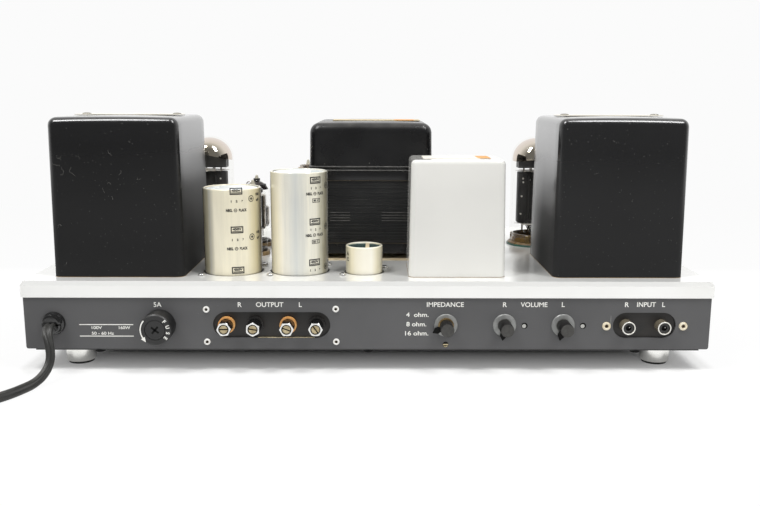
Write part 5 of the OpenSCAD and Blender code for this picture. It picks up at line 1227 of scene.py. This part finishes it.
def controls():
    c = controlSet
    r, t, bore, tip = c["dial"], c["dialT"], c["bore"], c["tip"]
    ring = turned([(bore, 0), (r, 0), (r, t * 0.6), (r - 0.35, t), (bore + 0.2, t), (bore, t * 0.8),
                   (bore, 0)], 64)
    newPiece("dialRings", rowOnRear(ring, c["dials"], zCtrl), "dialMetal",
             stands=("dial_rings",))
    r, out = c["knob"], c["knobOut"]
    knob = turned([(3.1, 1.6), (r * 0.95, 1.6), (r, 2.2), (r, out - 0.5), (r - 0.15, out - 0.15),
                   (r - 0.5, out), (0, out)], 48)
    pointer = [(2.0, -1.4), (tip - 3.0, -2.1), (tip, 0), (tip - 3.0, 2.1), (2.0, 1.4)]
    flag = lofted([atHeight(pointer, z) for z in c["flag"]])
    for (body, aim), node, x in zip(c["aims"].items(), c["nodes"], c["dials"]):
        newPiece("knob." + body, onRear(knob, x, zCtrl), "knobDark", body, stands=(node,))
        newPiece("pointer." + body, onRear(placed(flag, turn=aim), x, zCtrl), "blackAndRecessShade", body)
    base = turned([(4.5, 1.1), (5.3, 1.1), (5.2, 2.4), (4.5, 2.6), (4.5, 1.1)], 40)
    newPiece("selectorBase", onRear(base, c["dials"][0], zCtrl), "brassDull", "selector")
    out = outFromWall("fuse_cap") + fuseSet["proud"]
    # painted shade: near-black bars where the cross slot of the cap is
    slots = [onRear(placed(strip(*fuseSet["slots"]), turn=turn), fuseSet["x"], zCtrl, out)
             for turn in fuseSet["slotTurns"]]
    newPiece("fuseCross", joined(*slots), "blackAndRecessShade", "cap")


jackSet = {"spots": (172.95, 196.65), "low": -0.4, "r": 4.45, "out": 6.3, "wall": 0.8, "bore": 1.95,
           "floor": 2.2}


def jacks():
    c = jackSet
    r, out, spots, z = c["r"], c["out"], c["spots"], zCtrl + c["low"]
    inner = r - c["wall"]
    shell = turned([(inner + 0.05, -0.9), (inner + 0.05, out - 0.1), (inner + 0.15, out), (r - 0.12, out),
                    (r, out - 0.12), (r, -1.6), (0, -1.6)], 48)
    bore, back, face = c["bore"], out - 1.6, out - 0.8
    ring = turned([(bore, back), (bore, face), (inner, face), (inner, back)], 36)
    # painted highlight: a small light glint for the floor of each bore
    glint = placed(turned([(0, 0), (0.32, 0), (0.3, 0.1), (0, 0.12)], 12), 0.95, 0.1)
    newPiece("jackShells", rowOnRear(shell, spots, z), "jackMetal", stands=("input_jacks",))
    newPiece("jackInsides", rowOnRear(ring, spots, z), "insulatorGrey",
             stands=("jack_insulators",))
    # painted shade: a near-black disc deep in each bore
    newPiece("jackFloors", rowOnRear(disc(inner), spots, z, out - c["floor"]), "blackAndRecessShade")
    newPiece("jackGlints", rowOnRear(glint, spots, z, out - c["floor"] + 0.05), "screwSteel")


bushSet = {"r": 7.8, "jaws": ((0.7, 6.5, 6.0, 0), (-0.7, 5.8, 4.4, 180))}  # lift, radius, out, first angle


def cordBush():  # flange and two jaws that grip the cord
    r = bushSet["r"]
    shapes = [turned([(0, 0), (r, 0), (r, 1.0), (r - 0.5, 1.9), (r - 1.4, 2.3), (0, 2.3)], 56),
              turned([(0, -14.0), (4.4, -14.0), (5.9, -7.0), (5.9, 0.2), (0, 0.2)], 40)]
    for lift, r, out, first in bushSet["jaws"]:
        rim = arc(0, 0, r, first, first + 180, 24)
        steps = ((1.0, 2.0), (1.0, out - 1.6), (0.95, out - 0.7), (0.84, out - 0.15), (0.74, out))
        shapes.append(lofted([[(u * share, lift + v * share, z) for u, v in rim] for share, z in steps]))
    newPiece("cordBush", joined(*[onRear(shape, bushNose.x, bushNose.z) for shape in shapes]), "bushBlack",
             stands=("cord_bush",))


footSet = {"x": 200.5, "in": 24.0, "frontIn": 27.84, "wide": 10.3, "low": 9.9, "high": 14.2,
           "heads": (-180.5, 0.0, 180.5), "head": (6.8, 2.0, 24), "headRear": 3.6, "headFront": 10.0}


def feet():
    c = footSet
    wide, low, high = c["wide"], c["low"], c["high"]
    foot = turned([(0, 1.4), (low - 0.9, 1.4), (low - 0.25, 1.7), (low, 2.4), (wide, high - 0.8),
                   (wide - 0.2, high), (0, high)], 56)
    pad = turned([(0, 0), (low - 1.6, 0), (low - 1.2, 0.4), (low - 1.2, 1.5), (0, 1.5)], 48)
    spots = [(sx * c["x"], y) for sx in (-1, 1) for y in (yRear + c["in"], -yRear - c["frontIn"])]
    newPiece("feetTurned", joined(*[placed(foot, *spot) for spot in spots]), "footAluminium",
             stands=("feet",))
    newPiece("feetPads", joined(*[placed(pad, *spot) for spot in spots]), "rubberBlack",
             stands=("foot_pads",))
    points, faces = panHead(*c["head"])
    head = [(x, y, -z) for x, y, z in points], faces
    heads = [placed(head, x, y, high) for x in c["heads"]
             for y in (yWall + c["headRear"], -yWall - c["headFront"])]
    newPiece("bottomHeads", joined(*heads), "blackAndRecessShade")


screwHeads()
controls()
jacks()
cordBush()
feet()
print("rear fitted")

# finishes of the solids that stay
nodeFinish = {
    "plateSatin": ("top_plate",), "wallGrey": ("rear_wall", "front_wall", "side_walls"),
    "bottomDark": ("bottom_plate",), "nutSteel": tuple("terminal_nut_%d" % k for k in range(1, 5)),
    "steelBright": ("mains_bolts", "switch_lever", "power_switch"),
    "brassOld": ("output_studs", "plug_blades"), "coreIron": ("output_cores", "choke_core"),
    "boardBlack": ("output_board", "input_board"), "ringOrange": ("output_rings_red",),
    "ringBlack": ("output_rings_black",), "fuseBlack": ("fuse_holder", "fuse_cap", "fuse_carrier"),
    "bulbGlass": ("fuse",), "controlMetal": ("selector_switch", "selector_shaft", "volume_pots",
                                             "volume_shaft_right", "volume_shaft_left"),
    "lampRed": ("pilot_lamp",), "boardGreen": ("driver_board",)}
for tint, names in nodeFinish.items():
    for name in names:
        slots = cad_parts[name].data.materials
        slots.clear()
        slots.append(finish[tint])
print("solids finished")

# stage, in metres
# lift: painted light, a weak glow that lightens the shade under the chassis edges
stageSet = {"r": 4.0, "sides": 96, "floor": (250, 250, 249), "bounce": (215, 215, 214), "rough": 0.6,
            "gloss": 0.1, "foot": (0.23, 0.119, -0.002), "edge": (0.0, 0.008), "white": 0.92,
            "lift": (-0.045, 0.25), "away": (0.35, 0.6), "paperEnd": (-0.9, -0.5), "rise": (0.2, 0.23),
            "room": 0.2, "roomEnd": (-0.5, 0.3), "fill": 0.62, "sky": 0.965, "aim": (0, 0, 0.08),
            "lamp": (0.3, 0.9, 14.0), "lamps": {"softLeft": (-0.70, -0.55, 1.6),
                                                "softRight": (0.70, -0.55, 1.6)}}


def rays(tree, *kinds):  # 1 for rays of any of these kinds
    path = tree.nodes.new("ShaderNodeLightPath").outputs
    share = path[kinds[0]]
    for kind in kinds[1:]:
        share = larger(tree, share, path[kind])
    return share


def pastFoot(tree, across, along, halfWide, halfDeep, middle):  # distance outside the amplifier's foot
    overX = mathNode(tree, "SUBTRACT", mathNode(tree, "ABSOLUTE", across), halfWide)
    fromMiddle = mathNode(tree, "ABSOLUTE", mathNode(tree, "SUBTRACT", along, middle))
    return larger(tree, overX, mathNode(tree, "SUBTRACT", fromMiddle, halfDeep))


def floorPaper(s):  # shaded near the amplifier with a painted glow lightening the shade under its edges, white further off, clear from below
    mat, tree, bsdf = newMaterial("floorPale")
    bsdf.inputs["Roughness"].default_value = s["rough"]
    bsdf.inputs["Specular IOR Level"].default_value = s["gloss"]
    camera = rays(tree, "Is Camera Ray")
    feed(tree, bsdf.inputs["Base Color"], mixColour(tree, camera, tone(s["bounce"]), tone(s["floor"])))
    across, along = axes(tree, objectPoint(tree))[:2]
    past = pastFoot(tree, across, along, *s["foot"])
    # in reflections the paper ends before the camera, and it rises behind the amplifier
    ahead = larger(tree, stepped(tree, along, *s["paperEnd"], s["room"]), camera)
    glow = tree.nodes.new("ShaderNodeEmission")
    feed(tree, glow.inputs["Strength"], times(tree, ahead, stepped(tree, along, *s["rise"], 1.0, s["sky"])))
    share = times(tree, stepped(tree, past, *s["edge"]), s["white"])
    # painted light: a glow rising from 45 mm inside the foot to a quarter strength at its outline lightens
    # the shade there
    share = larger(tree, share, times(tree, stepped(tree, past, s["lift"][0], 0.0), s["lift"][1]))
    share = larger(tree, share, stepped(tree, past, *s["away"]))
    seen = rays(tree, "Is Camera Ray", "Is Glossy Ray", "Is Transmission Ray")
    mixed = mixShader(tree, times(tree, seen, share), bsdf.outputs[0], glow.outputs[0])
    clear = tree.nodes.new("ShaderNodeBsdfTransparent").outputs[0]
    tree.links.new(mixShader(tree, geometry(tree, "Backfacing"), mixed, clear),
                   tree.nodes["Material Output"].inputs[0])
    return mat


def makeFloor(s):
    mesh = bpy.data.meshes.new("floor")
    ring = [polar(s["r"], 360 * k / s["sides"]) for k in range(s["sides"])]
    mesh.from_pydata(atHeight(ring, 0.0), [], [tuple(range(s["sides"]))])
    mesh.materials.append(floorPaper(s))
    floor = bpy.data.objects.new("floor", mesh)
    scene.collection.objects.link(floor)


def makeLamps(s):
    for name, place in s["lamps"].items():
        lamp = bpy.data.lights.new(name, "AREA")
        lamp.shape = "RECTANGLE"
        lamp.size, lamp.size_y, lamp.energy = s["lamp"]
        holder = bpy.data.objects.new(name, lamp)
        holder.location = place
        holder.rotation_euler = (Vector(s["aim"]) - Vector(place)).to_track_quat("-Z", "Y").to_euler()
        scene.collection.objects.link(holder)


def makeWorld(s):  # white to look at, an even fill, and a dim room behind the camera for reflections
    world = bpy.data.worlds.new("studio")
    scene.world = world
    world.use_nodes = True
    tree = world.node_tree
    along = axes(tree, tree.nodes.new("ShaderNodeTexCoord").outputs["Generated"])[1]
    camera = rays(tree, "Is Camera Ray")
    mirrored = rays(tree, "Is Glossy Ray", "Is Transmission Ray")
    room = times(tree, mirrored, stepped(tree, along, *s["roomEnd"], s["room"]))
    level = mathNode(tree, "ADD", room, times(tree, camera, s["sky"]))
    other = mathNode(tree, "SUBTRACT", 1.0, larger(tree, mirrored, camera))
    strength = mathNode(tree, "ADD", level, times(tree, other, s["fill"]))
    feed(tree, tree.nodes["Background"].inputs["Strength"], mathNode(tree, "MINIMUM", strength, 1.0))
    tree.nodes["Background"].inputs["Color"].default_value = (1, 1, 1, 1)


makeFloor(stageSet)
makeLamps(stageSet)
makeWorld(stageSet)
print("stage lit")
